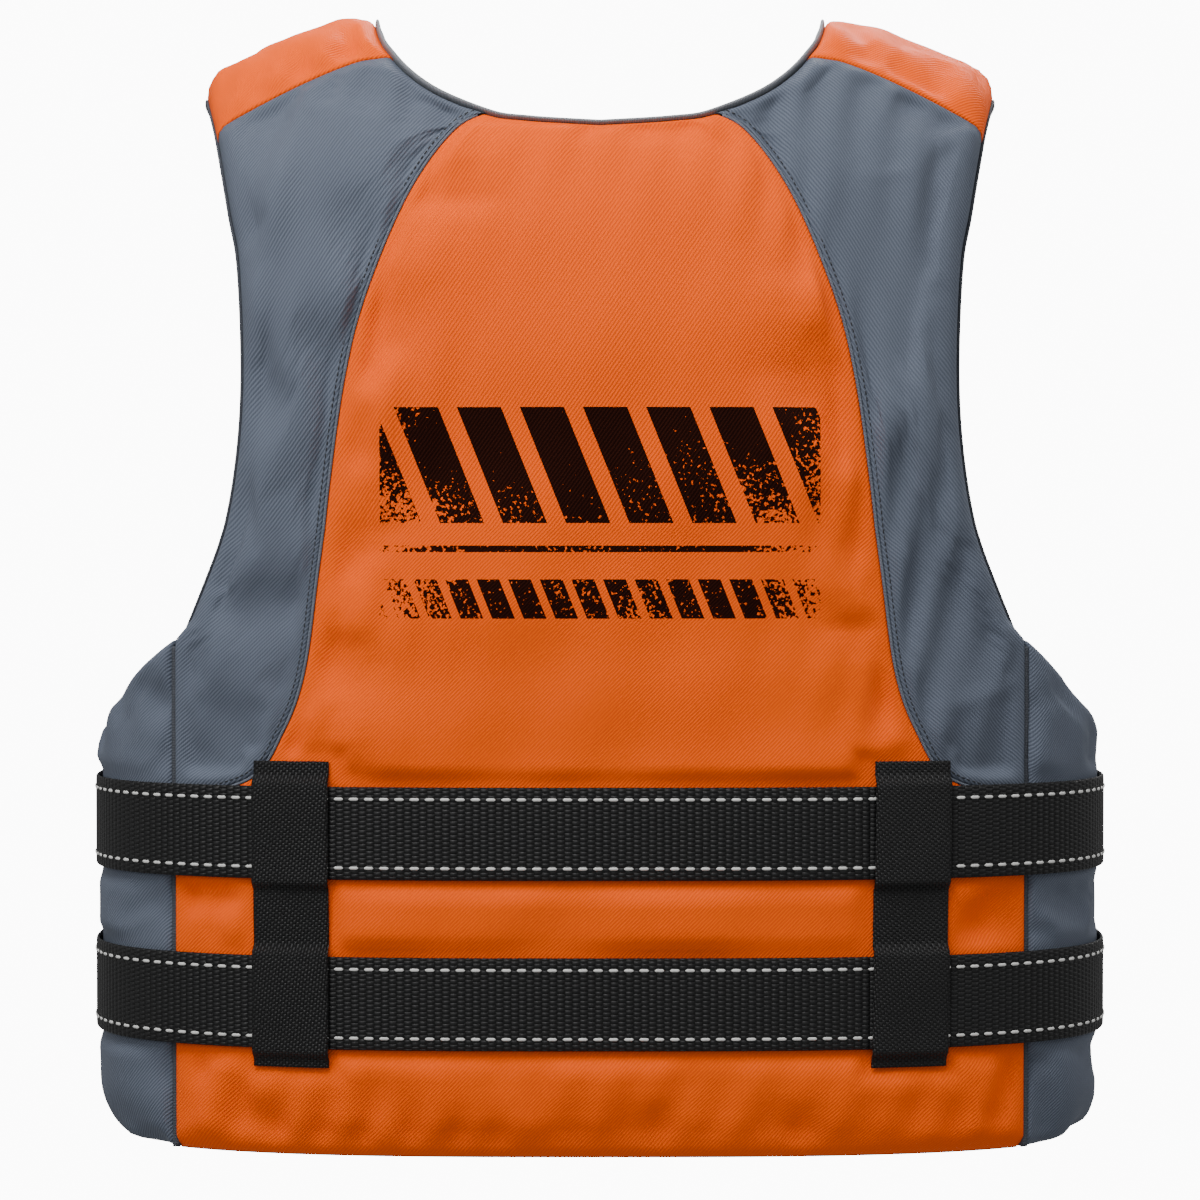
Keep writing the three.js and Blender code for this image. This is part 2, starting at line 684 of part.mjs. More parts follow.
// ================================================================ zip
const teethFront = zipY - teethThickness / 2;
const teethBack = zipY + teethThickness / 2;
const teethOuter = teethHalfGap + teethWidth;
for (const [side, hand] of [[1, "left"], [-1, "right"]]) {
  const xs = [side * (teethOuter + tapeGap), side * (zipEdgeX - 0.6)].sort((a, b) => a - b);
  const tape = block(...xs, zipY - tapeThickness / 2, zipY + tapeThickness / 2, zipBottom, zipTop);
  addPiece(`zip_tape_${hand}`, tape, zipPlastic);
  const teeth = [side * teethHalfGap, side * teethOuter].sort((a, b) => a - b);
  addPiece(`zip_teeth_${hand}`, block(...teeth, teethFront, teethBack, zipBottom, zipTop), zipPlastic);
  const stop = block(...teeth, teethFront, teethBack, zipTop + tapeGap, zipTop + tapeGap + stopLength);
  addPiece(`zip_stop_${hand}`, stop, zipMetal);
}
const boxHalf = teethOuter + 2;
const boxTop = zipBottom - tapeGap;
const zipBox = block(-boxHalf, boxHalf, teethFront - 0.5, teethBack + 0.5, zipBottom - 7, boxTop);
addPiece("zip_box", zipBox, zipMetal);

const sliderTop = zipTop - 2;
const sliderBottom = sliderTop - sliderLength;
const frontPlateInner = teethFront - sliderClear;
const frontPlateOuter = frontPlateInner - sliderPlate;
const backPlateInner = teethBack + sliderClear;
const half = sliderWidth / 2;
const bailY = frontPlateOuter - eyeRadius - eyeWall - eyeClear;
const bailZ = sliderTop - bailBelowTop;
const neckHalf = sliderNeck / 2;
let slider = solid(plate(-half, half, sliderLength / 2, frontPlateOuter, frontPlateInner, 3, 0.4)
  .translate(0, 0, sliderTop - sliderLength / 2));
const backPlate = block(-half, half, backPlateInner, backPlateInner + sliderPlate, sliderBottom, sliderTop);
slider = slider.add(solid(backPlate));
const wedgeFront = frontPlateInner - 1;
const wedge = block(-neckHalf, neckHalf, wedgeFront, backPlateInner + 1, sliderTop - 10, sliderTop - 1);
slider = slider.add(solid(wedge));
for (const side of [1, -1]) {
  const ear = [side * bailHalf, side * (bailHalf + bailEarWidth)].sort((a, b) => a - b);
  slider = slider.add(solid(block(...ear, bailY - bailRadius, frontPlateInner - 1, bailZ - 2, bailZ + 2)));
}
const pin = new THREE.CylinderGeometry(bailRadius, bailRadius, 2 * bailHalf + 1, 10);
slider = slider.add(solid(pin.rotateZ(Math.PI / 2).translate(0, bailY, bailZ)));
addPiece("zip_slider", toGeometry(slider), zipMetal);

let pull = solid(new THREE.CylinderGeometry(eyeRadius + eyeWall, eyeRadius + eyeWall, 2 * bailHalf - 0.8, 14)
  .rotateZ(Math.PI / 2));
pull = pull.add(solid(block(-bailHalf + 0.6, bailHalf - 0.6, -eyeRadius - eyeWall, -0.3, -6, 0)));
pull = pull.subtract(solid(new THREE.CylinderGeometry(eyeRadius, eyeRadius, 10, 14).rotateZ(Math.PI / 2)));
const pullFront = -eyeRadius - eyeWall;
const tagHalf = (pullLength - pullNeck) / 2;
const tag = plate(-pullWidth / 2, pullWidth / 2, tagHalf, pullFront, pullFront + pullThickness, 2, 0.3);
pull = pull.add(solid(tag.translate(0, 0, -pullNeck - tagHalf)));
addPiece("zip_pull", toGeometry(pull), zipMetal).position.set(0, bailY, bailZ);

// ================================================================ buckles
const buckleFront = buckleBack - buckleThickness;
const cavityHalf = buckleHalfHeight - femaleWall;
const webSlotHalf = beltWidth / 2 + 1.5;

function femaleGeometry() {
  let body = solid(plate(femaleStart, femaleEnd, buckleHalfHeight, buckleFront, buckleBack, 7, 1.5));
  const roof = buckleBack - femaleWall;
  const floor = buckleFront + femaleWall;
  const cavityEnd = femaleStart + cavityDepth;
  const cavity = block(femaleStart - 1, cavityEnd, floor, roof, -cavityHalf, cavityHalf);
  body = body.subtract(solid(cavity));
  const windowEnd = femaleStart + windowStart + windowLength;
  for (const side of [1, -1]) {
    const zs = [side * (cavityHalf - 4), side * (buckleHalfHeight + 1)].sort((a, b) => a - b);
    const opening = block(femaleStart + windowStart, windowEnd, buckleFront - 1, buckleBack + 1, ...zs);
    body = body.subtract(solid(opening));
  }
  const slotEnd = femaleEnd - barWidth;
  const slot = block(slotEnd - barSlot, slotEnd, buckleFront - 1, buckleBack + 1, -webSlotHalf, webSlotHalf);
  return toGeometry(body.subtract(solid(slot)));
}

function maleGeometry() {
  const maleEnd = maleStart + maleLength;
  const y0 = buckleY - malePlate / 2;
  const y1 = buckleY + malePlate / 2;
  let frame = solid(plate(maleStart, maleEnd, buckleHalfHeight, y0, y1, 6, 1.2));
  for (const slotStart of [maleStart + barWidth, maleStart + 2 * barWidth + barSlot]) {
    const slot = block(slotStart, slotStart + barSlot, y0 - 1, y1 + 1, -webSlotHalf, webSlotHalf);
    frame = frame.subtract(solid(slot));
  }
  const tongueEnd = maleEnd + tongueLength;
  const tongue = block(maleEnd - 2, tongueEnd, buckleY - 2, buckleY + 2, -tongueHalf, tongueHalf);
  return toGeometry(frame.add(solid(tongue)));
}

// One springy arm with its barbed head, which shows in the side window of the female half.
function prongGeometry(side) {
  const root = maleStart + maleLength + runGap;
  const headStart = femaleStart + windowStart + runGap;
  const headEnd = headStart + windowLength - 2 * runGap - 2;
  const inside = prongRoot - prongThickness / 2;
  const shape = new THREE.Shape();
  shape.moveTo(root, side * inside);
  shape.lineTo(root + prongLength, side * (inside + 1));
  shape.lineTo(headEnd, side * (inside + 3));
  shape.lineTo(headEnd - 5, side * (buckleHalfHeight - 2));
  shape.lineTo(headStart, side * (buckleHalfHeight - 0.5));
  shape.lineTo(headStart, side * (inside + prongThickness + 1));
  shape.lineTo(root, side * (inside + prongThickness));
  shape.closePath();
  const geometry = new THREE.ExtrudeGeometry(shape, { depth: prongHead, bevelEnabled: false });
  return geometry.rotateX(Math.PI / 2).translate(0, buckleY + prongHead / 2, 0);
}

for (const [name, height] of Object.entries(beltHeights)) {
  addPiece(`${name}_buckle_female`, femaleGeometry(), blackPlastic).position.z = height;
  addPiece(`${name}_buckle_male`, maleGeometry(), blackPlastic).position.z = height;
  addPiece(`${name}_prong_top`, prongGeometry(1), blackPlastic).position.z = height;
  addPiece(`${name}_prong_bottom`, prongGeometry(-1), blackPlastic).position.z = height;
  const tailOuter = buckleY - malePlate / 2 - runGap - webbingThickness / 2;
  const tail = [[maleStart + maleThroat + 6, tailOuter], [maleStart - 2, tailOuter],
    [maleStart - 20, tailOuter + 3], [maleStart + maleThroat + 6 - tailLength, tailOuter + 6]];
  addPiece(`${name}_belt_tail`, ribbon(tail, beltWidth, height), blackWebbing);
}

export default vest;
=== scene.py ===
import math

import bmesh
import bpy
import numpy as np
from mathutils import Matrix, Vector


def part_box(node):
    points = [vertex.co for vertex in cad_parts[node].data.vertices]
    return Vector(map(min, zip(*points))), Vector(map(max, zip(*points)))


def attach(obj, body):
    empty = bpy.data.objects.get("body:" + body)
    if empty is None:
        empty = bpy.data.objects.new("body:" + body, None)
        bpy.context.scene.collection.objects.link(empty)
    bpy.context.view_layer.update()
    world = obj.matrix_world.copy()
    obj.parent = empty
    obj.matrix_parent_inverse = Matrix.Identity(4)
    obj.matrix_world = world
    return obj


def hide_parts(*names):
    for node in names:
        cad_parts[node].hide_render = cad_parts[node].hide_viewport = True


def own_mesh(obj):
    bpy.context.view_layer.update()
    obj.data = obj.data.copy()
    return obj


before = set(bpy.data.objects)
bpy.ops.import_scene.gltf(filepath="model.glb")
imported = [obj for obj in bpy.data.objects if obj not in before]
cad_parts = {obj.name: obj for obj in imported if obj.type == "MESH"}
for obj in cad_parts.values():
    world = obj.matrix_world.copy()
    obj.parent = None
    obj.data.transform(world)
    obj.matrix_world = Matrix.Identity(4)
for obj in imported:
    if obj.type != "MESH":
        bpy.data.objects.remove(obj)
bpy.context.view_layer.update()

mm = 0.001

# ------------------------------------------------------------------ studio
# A plain pale floor and backdrop, broad soft lamps overhead and on both sides, and the camera
# behind the vest, a little above its middle.
scene = bpy.context.scene
half_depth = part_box("back_centre_panel")[1][1]
camera_distance = 1.9
camera_height = 0.343
camera_data = bpy.data.cameras.new("camera")
camera_data.sensor_width = 36
camera_data.lens = 106.6
camera_data.dof.use_dof = False
camera = bpy.data.objects.new("camera", camera_data)
camera.location = (0.0, half_depth + camera_distance, camera_height)
camera.rotation_euler = (math.radians(90 - 1.27), 0, math.radians(180))
scene.collection.objects.link(camera)
scene.camera = camera


def linear(code):
    """A colour from its sRGB hex digits: ((c + 0.055) / 1.055) ** 2.4, or c / 12.92 when dark."""
    parts = [int(code[i:i + 2], 16) / 255 for i in (1, 3, 5)]
    return tuple(c / 12.92 if c < 0.04045 else ((c + 0.055) / 1.055) ** 2.4 for c in parts) + (1,)


def add(tree, kind, *values, out=0, **settings):
    """Adds one node, sets it, fills its first inputs with numbers or links, gives an output."""
    made = tree.nodes.new("ShaderNode" + kind)
    named = settings.pop("named", {})
    for key, value in settings.items():
        setattr(made, key, value)
    for key, value in [*enumerate(values), *named.items()]:
        if isinstance(value, bpy.types.NodeSocket):
            tree.links.new(value, made.inputs[key])
        elif value is not None:
            made.inputs[key].default_value = value
    return made.outputs[out]


def new_material(name):
    """An empty material with its output and a principled shader."""
    made = bpy.data.materials.new(name)
    made.use_nodes = True
    tree = made.node_tree
    shader = tree.nodes["Principled BSDF"]
    return made, tree, shader


# The tent is a white paper dome that glows evenly for the camera and casts nothing on the vest.
tent_paper, tree, shader = new_material("studio_paper_white")
shader.inputs["Base Color"].default_value = (0.9, 0.9, 0.9, 1)
shader.inputs["Roughness"].default_value = 1.0
shader.inputs["Emission Color"].default_value = (1, 1, 1, 1)
shader.inputs["Emission Strength"].default_value = 11.0
bpy.ops.mesh.primitive_uv_sphere_add(segments=48, ring_count=24, radius=12, location=(0, 0, 0.3))
tent = bpy.context.object
tent.name = "paper_tent"
tent.data.materials.append(tent_paper)
tent.visible_diffuse = False
tent.visible_glossy = False
tent.visible_transmission = False
tent.visible_shadow = False

world = bpy.data.worlds.new("studio")
world.use_nodes = True
world.node_tree.nodes["Background"].inputs[0].default_value = (1, 1, 1, 1)
world.node_tree.nodes["Background"].inputs[1].default_value = 0.4
scene.world = world
for name, place, size, power in [("key_overhead", (0.45, 1.0, 1.9), 1.1, 40),
                                 ("key_front", (-0.45, -1.2, 1.9), 1.1, 46),
                                 ("fill_left", (1.9, 1.7, 1.2), 1.0, 12),
                                 ("rim_right", (-1.9, 0.2, 1.2), 0.8, 8)]:
    lamp_data = bpy.data.lights.new(name, "AREA")
    lamp_data.size = size
    lamp_data.energy = power
    lamp = bpy.data.objects.new(name, lamp_data)
    lamp.location = place
    aim = Vector((0, 0, 0.35)) - Vector(place)
    lamp.rotation_euler = aim.to_track_quat("-Z", "Y").to_euler()
    scene.collection.objects.link(lamp)

# ------------------------------------------------------------------ back panels
# The orange centre and the two grey side panels share one foam slab. They are sewn edge to edge
# with piping in the seam, and each rolls over the slab at the hem, neck or armhole.

# The vest is cut flat and closed round the body: every outline is a curve in half-width x and
# cloth height h, which runs up the back, over the shoulder ridge and down the front.
half_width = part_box("side_gusset_left")[1][0]
neck_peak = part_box("shoulder_cap_left")[1][2]
roll_start = 340 * mm
roll_length = 330 * mm
ridge = roll_start + roll_length
ridge_flat = 130 * mm
shoulder_drop = 37 * mm
ridge_run = 100 * mm
plan_power = 3
roll_power = 3


def plan_depth(x):
    """Share of the half-depth left at x: (1 - |x/a|^3)^(1/3)."""
    return np.maximum(1 - (np.abs(x) / half_width) ** plan_power, 0) ** (1 / plan_power)


def ridge_height(x):
    """Height of the shoulder ridge: level near the neck, then falling by a power of 1.3."""
    return neck_peak - shoulder_drop * (np.maximum(np.abs(x) - ridge_flat, 0) / ridge_run) ** 1.3


def torso(x, h):
    """Upright below the roll, then a superellipse over the ridge, then upright down the front."""
    depth = half_depth * plan_depth(x)
    angle = np.clip((h - roll_start) / roll_length, 0, 2) * math.pi / 2
    cos, sin = np.cos(angle), np.sin(angle)
    reach = (np.abs(cos) ** roll_power + sin ** roll_power) ** (-1 / roll_power)
    rise = roll_start + (ridge_height(x) - roll_start) * sin * reach
    z = np.where(h <= roll_start, h, np.where(h >= 2 * ridge - roll_start, 2 * ridge - h, rise))
    return np.stack([x, depth * cos * reach, z], axis=-1)


def torso_normal(x, h, step=0.5 * mm):
    """Outward unit normal: the step up the cloth crossed with the step along it."""
    along = torso(x + step, h) - torso(x - step, h)
    up = torso(x, h + step) - torso(x, h - step)
    out = np.cross(up, along)
    return out / np.linalg.norm(out, axis=-1, keepdims=True)


def on_torso(x, h, offset=0.0):
    """A point of the shell moved out along its normal."""
    return torso(x, h) + torso_normal(x, h) * np.asarray(offset)[..., None]


def cloth_height(x, z):
    """The inverse of the roll: from a real height to the height along the cloth."""
    t = np.clip((z - roll_start) / (ridge_height(x) - roll_start), 0, 1 - 1e-9)
    turned = np.arctan(t / (1 - t ** roll_power) ** (1 / roll_power))
    rolled = roll_start + roll_length * turned * 2 / math.pi
    return np.where(z <= roll_start, z, rolled)


def spline(points, last=None, samples=40):
    """Catmull-Rom through points in mm of half-width and height, as a curve of its length."""
    flat = np.array(points, float) * mm
    flat[:, 1] = cloth_height(flat[:, 0], flat[:, 1])
    if last is not None:
        flat = np.vstack([flat, last])
    a = np.vstack([flat[:1], flat, flat[-1:]])
    t = np.linspace(0, 1, samples, endpoint=False)[:, None]
    p0, p1, p2, p3 = (a[i:len(a) - 3 + i, None, :] for i in range(4))
    v0, v1 = (p2 - p0) / 2, (p3 - p1) / 2
    runs = (2 * p1 - 2 * p2 + v0 + v1) * t ** 3 + (-3 * p1 + 3 * p2 - 2 * v0 - v1) * t ** 2 + v0 * t + p1
    return by_length(np.vstack([runs.reshape(-1, 2), flat[-1:]]))


def by_length(dense):
    """A polyline as a function of the share of its length."""
    length = np.concatenate([[0], np.cumsum(np.linalg.norm(np.diff(dense, axis=0), axis=1))])
    share = length / length[-1]
    return lambda t: np.stack([np.interp(t, share, dense[:, k]) for k in range(dense.shape[1])], axis=-1)


def straight(a, b):
    """The straight line from a to b, in metres."""
    a, b = np.array(a, float), np.array(b, float)
    return lambda t: a + (b - a) * np.asarray(t)[..., None]


def joined(first, second, share=0.5):
    """Two curves end to end, the first over the share of the parameter."""
    return lambda t: np.where((np.asarray(t) <= share)[..., None],
                              first(np.clip(np.asarray(t) / share, 0, 1)),
                              second(np.clip((np.asarray(t) - share) / (1 - share), 0, 1)))


def part_of(curve, start, end):
    """The stretch of a curve between two parameters."""
    return lambda t: curve(start + (end - start) * np.asarray(t))


def nearest(curve, x, z):
    """The parameter at which a curve passes nearest to a half-width and height in mm."""
    t = np.linspace(0, 1, 2001)
    h = cloth_height(x * mm, z * mm)
    return float(t[np.argmin(np.linalg.norm(curve(t) - [x * mm, h], axis=-1))])


def to_front(curve):
    """The same outline on the front half."""
    return lambda t: curve(t) * [1, -1] + [0, 2 * ridge]


def reverse(curve):
    """The same curve run the other way."""
    return lambda t: curve(1 - np.asarray(t))


def on_side(curve, side):
    """The curve on the wearer's left (1) or right (-1)."""
    return lambda t: curve(t) * [side, 1]


seam_x = 234
cap_arm = (216, 557)
cap_back_neck = (113, 600)
cap_front_neck = (117, 598)
zip_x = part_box("front_foam_left")[0][0] / mm
armhole = spline([(seam_x, 279), (221, 307), (210.5, 332), (203, 362), (198.5, 400), (198, 440), (201, 486),
                  (207, 515), cap_arm, (224, 584)], last=(230 * mm, ridge))
back_seam = spline([(seam_x, 190.5), (190, 204), (172, 229), (160, 262), (152, 318), (146, 365), (138, 420),
                    (127, 464), (104, 520), (79, 556), (61, 566)])
neck_end = (128 * mm, ridge)
back_neck = spline([(0, 559.5), (38, 562), (61, 566), (93, 581), cap_back_neck, (123, 618)], last=neck_end)
front_seam = spline([(seam_x, 190.5), (190, 204), (172, 229), (160, 262), (152, 318), (143, 380), (126, 440),
                     (105, 490), (84, 531)])
front_neck = spline([(zip_x, 460), (32, 467), (60, 492), (84, 531), (103, 568), cap_front_neck, (125, 618)],
                    last=neck_end)
side_low = straight((seam_x * mm, 0), (seam_x * mm, 190.5 * mm))


def top_over(curve):
    """Height of an edge above each half-width."""
    dense = curve(np.linspace(0, 1, 800))
    return lambda x: np.interp(np.abs(x), dense[:, 0], dense[:, 1])


# Each padded panel is woven polyester drawn over a foam slab: its face is taut, gathers a little
# beside every seam, and rolls over the slab's edge where no other panel joins it.
def rounding(radius, count=5):
    """Distances in from a rounded edge at equal turns of a quarter circle."""
    return radius * (1 - np.cos(np.linspace(0, math.pi / 2, count)))


def spaced(width, low, high, count):
    """Distances across a width, close together where each edge is rounded, one row per width."""
    width, low, high = (np.atleast_1d(v)[:, None] for v in (width, low, high))
    curve = rounding(1.0)[None, :]
    inner = np.linspace(0, 1, count)[None, 1:-1]
    middle = low + (width - low - high) * inner
    return np.hstack([low * curve, middle, width - high * curve[:, ::-1]])


def fall(distance, radius):
    """How far a rounded edge has dropped at a distance from it: a quarter circle."""
    short = 1 - np.clip(distance / np.maximum(radius, 1e-6), 0, 1)
    return radius * (1 - np.sqrt(np.maximum(1 - short ** 2, 0)))


def waves(x, h, size, seed, count=7):
    """Soft random relief from -1 to 1: a sum of plane waves with seeded directions."""
    draw = np.random.default_rng(seed)
    total = np.zeros_like(x)
    for turn, phase, grow in zip(draw.uniform(0, math.pi, count), draw.uniform(0, 2 * math.pi, count),
                                 draw.uniform(0.6, 1.6, count)):
        total += np.sin((x * math.cos(turn) + h * math.sin(turn)) * 2 * math.pi * grow / size + phase)
    return total / math.sqrt(count)


def mesh_piece(name, points, faces, uv=None, smooth=True):
    """A mesh object at the origin from arrays of points and faces, with UV in metres of cloth."""
    mesh = bpy.data.meshes.new(name)
    mesh.from_pydata(np.asarray(points).reshape(-1, 3).tolist(), [], np.asarray(faces).tolist())
    if uv is not None:
        layer = mesh.uv_layers.new(name="cloth")
        corners = np.empty(len(mesh.loops), dtype=np.int32)
        mesh.loops.foreach_get("vertex_index", corners)
        layer.data.foreach_set("uv", np.asarray(uv, dtype=np.float32).reshape(-1, 2)[corners].ravel())
    mesh.polygons.foreach_set("use_smooth", np.full(len(mesh.polygons), smooth))
    made = bpy.data.objects.new(name, mesh)
    scene.collection.objects.link(made)
    return made


def tidy_normals(piece, weld=0.02 * mm):
    """Welds doubled points and turns every face outwards."""
    build = bmesh.new()
    build.from_mesh(piece.data)
    bmesh.ops.remove_doubles(build, verts=build.verts, dist=weld)
    bmesh.ops.recalc_face_normals(build, faces=build.faces)
    build.to_mesh(piece.data)
    build.free()


def shell_faces(rows, columns):
    """Faces of two grids, the outer first, and the wall round their four edges."""
    index = np.arange(rows * columns).reshape(rows, columns)
    a, b, c, d = index[:-1, :-1], index[:-1, 1:], index[1:, 1:], index[1:, :-1]
    outer = np.stack([a, d, c, b], axis=-1).reshape(-1, 4)
    inner = np.stack([a, b, c, d], axis=-1).reshape(-1, 4) + rows * columns
    rim = np.concatenate([index[0, :-1], index[:-1, -1], index[-1, :0:-1], index[:0:-1, 0]])
    after = np.roll(rim, -1)
    wall = np.stack([rim, after, after + rows * columns, rim + rows * columns], axis=-1)
    return np.vstack([outer, inner, wall])


def two_sided(name, outer, inner, uv, smooth=True):
    """A closed piece between an outer and an inner grid of points."""
    rows, columns = outer.shape[:2]
    points = np.concatenate([outer.reshape(-1, 3), inner.reshape(-1, 3)])
    both = np.concatenate([uv.reshape(-1, 2)] * 2)
    piece = mesh_piece(name, points, shell_faces(rows, columns), both, smooth)
    tidy_normals(piece)
    return piece


def settle(points, amount, limit, pressure=1.2):
    """Cloth simulation of one face on every third row and column: the edges are pinned, the
    cloth is a little too big and has air behind it. Each move is capped by limit * tanh."""
    pick = [np.unique(np.append(np.arange(0, size, 3), size - 1)) for size in points.shape[:2]]
    coarse = points[np.ix_(*pick)]
    rows, columns = coarse.shape[:2]
    index = np.arange(rows * columns).reshape(rows, columns)
    corners = [index[:-1, :-1], index[1:, :-1], index[1:, 1:], index[:-1, 1:]]
    quads = np.stack(corners, axis=-1).reshape(-1, 4)
    trial = mesh_piece("cloth_trial", coarse, quads)
    group = trial.vertex_groups.new(name="pinned")
    rim = np.concatenate([index[0], index[-1], index[:, 0], index[:, -1]])
    group.add(sorted(set(rim.tolist())), 1.0, "REPLACE")
    cloth = trial.modifiers.new("cloth", "CLOTH")
    made = cloth.settings
    made.vertex_group_mass = "pinned"
    made.quality = 5
    made.mass = 0.25
    made.tension_stiffness = 18
    made.compression_stiffness = 14
    made.bending_stiffness = 0.2
    made.shrink_min = -amount
    made.use_pressure = True
    made.uniform_pressure_force = pressure
    made.effector_weights.gravity = 0
    cloth.point_cache.frame_start = 1
    cloth.point_cache.frame_end = 20
    for number in range(1, 21):
        scene.frame_set(number)
    graph = bpy.context.evaluated_depsgraph_get()
    moved = np.empty(rows * columns * 3)
    trial.evaluated_get(graph).data.vertices.foreach_get("co", moved)
    scene.frame_set(1)
    bpy.data.objects.remove(trial)
    shift = np.nan_to_num(moved.reshape(rows, columns, 3) - coarse)
    length = np.maximum(np.linalg.norm(shift, axis=-1, keepdims=True), 1e-9)
    shift = shift / length * limit * np.tanh(length / limit)
    for axis, size in enumerate(points.shape[:2]):
        at, low = np.arange(size), pick[axis]
        left = np.clip(np.searchsorted(low, at, side="right") - 1, 0, len(low) - 2)
        share = (at - low[left]) / (low[left + 1] - low[left])
        share = share.reshape([-1, 1, 1] if axis == 0 else [1, -1, 1])
        shift = np.take(shift, left, axis) * (1 - share) + np.take(shift, left + 1, axis) * share
    return shift


# Where the belts and keepers lie, the cloth is pressed flat against the foam.
belt_boxes = [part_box("lower_belt"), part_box("upper_belt")]
keeper_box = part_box("back_keeper_left")


def pressed(x, z, h=None):
    """Share of its freedom the cloth keeps: none under webbing or a tab, all of it 9 mm away."""
    free = np.ones_like(z)
    for low, high in belt_boxes:
        away = np.abs(z - (low[2] + high[2]) / 2) - (high[2] - low[2]) / 2 - 2 * mm
        free = np.minimum(free, np.clip(away / (9 * mm), 0, 1))
    past_end = np.maximum(keeper_box[0][2] - z, z - keeper_box[1][2])
    over = np.maximum(np.abs(np.abs(x) - 166 * mm) - 23 * mm, past_end)
    free = np.minimum(free, np.clip(over / (9 * mm), 0, 1))
    if h is not None:
        beyond = np.maximum(np.abs(np.abs(x) - 184 * mm) - 32 * mm, np.abs(h - ridge - 40 * mm) - 55 * mm)
        free = np.minimum(free, np.clip(beyond / (9 * mm), 0, 1))
    return free * free * (3 - 2 * free)


def padded_panel(name, left, right, bottom_round, top_round, left_round, right_round, thickness,
                 rows, columns, top=None, seed=1, crown=2.0 * mm, gather=2.2 * mm, swell=4 * mm):
    """A foam slab in its cloth between a left and a right edge: the face falls by a quarter
    circle at rounded edges and by a small one at seams, where it gathers in short ripples."""
    t = np.linspace(0, 1, 400)
    length = np.linalg.norm(np.diff((left(t) + right(t)) / 2, axis=0), axis=1).sum()
    v = (spaced(length, bottom_round, top_round, rows) / length)[0]
    a, b = left(v), right(v)
    width = np.linalg.norm(b - a, axis=-1)
    left_round = left_round(v) if callable(left_round) else np.full_like(v, left_round)
    right_round = right_round(v) if callable(right_round) else np.full_like(v, right_round)
    limit = width / 2.2
    left_round, right_round = np.minimum(left_round, limit), np.minimum(right_round, limit)
    across = spaced(width, left_round, right_round, columns)
    share = across / width[:, None]
    x = a[:, :1] + (b[:, :1] - a[:, :1]) * share
    h = a[:, 1:] + (b[:, 1:] - a[:, 1:]) * share
    if top is not None:
        ends = straight(left(np.array(1.0)), right(np.array(1.0)))(share)
        h = h + v[:, None] * (top(ends[..., 0]) - ends[..., 1])
    up = v[:, None] * length
    drops = [fall(across, left_round[:, None]), fall(width[:, None] - across, right_round[:, None]),
             fall(up, bottom_round) + 0 * across, fall(length - up, top_round) + 0 * across]
    drop = np.max(drops, axis=0)
    inner_rounds = [thickness - r if r > 4 * mm else 0.8 * mm for r in (bottom_round, top_round)]
    inner_left = np.where(left_round > 4 * mm, thickness - left_round, 0.8 * mm)[:, None]
    inner_right = np.where(right_round > 4 * mm, thickness - right_round, 0.8 * mm)[:, None]
    ratio = np.maximum.reduce([
        drops[0] / np.maximum(left_round[:, None], 1e-6) * inner_left,
        drops[1] / np.maximum(right_round[:, None], 1e-6) * inner_right,
        drops[2] / max(bottom_round, 1e-6) * inner_rounds[0],
        drops[3] / max(top_round, 1e-6) * inner_rounds[1]])
    edge = np.minimum.reduce([across, width[:, None] - across, up + 0 * across, length - up + 0 * across])
    inside = np.clip(edge / (40 * mm), 0, 1)
    upright = np.where(h > ridge, 2 * ridge - h, h)
    free = pressed(x, upright, h)
    folds = 1.3 * waves(x, h * 0.45, 30 * mm, seed) * np.exp(-edge / (30 * mm))
    puckers = np.sin((across + up) * 2 * math.pi / (9 * mm) + 3 * waves(x, h, 60 * mm, seed + 5))
    puckers = puckers * np.exp(-edge / (12 * mm))
    broad = waves(x, h, 150 * mm, seed + 9) + 0.6 * waves(x, h, 75 * mm, seed + 17)
    sewn = np.clip((edge - 2 * mm) / (11 * mm), 0, 1)
    sewn = sewn * sewn * (3 - 2 * sewn)
    relief = crown * np.sin(inside * math.pi / 2) - crown + free * sewn * (
        gather * folds + 0.35 * mm * puckers + 0.7 * gather * broad)
    relief = np.where(free < 1, np.minimum(relief, free * relief), relief)
    face = on_torso(x, h, -drop + relief - 0.2 * mm)
    if swell:
        face = face + settle(face, 0.02, swell) * (free * sewn)[..., None]
    back = on_torso(x, h, np.minimum(-thickness + ratio, -drop - 0.05 * mm))
    uv = np.stack([x, h], axis=-1)
    return two_sided(name, face, back, uv)


# Polyester oxford twill: fine slanting ridges of yarn, matt with a faint silky sheen, dyed
# orange or slate grey.
twill_pitch = 1.5 * mm      # real ridges are about half of this, too fine to show


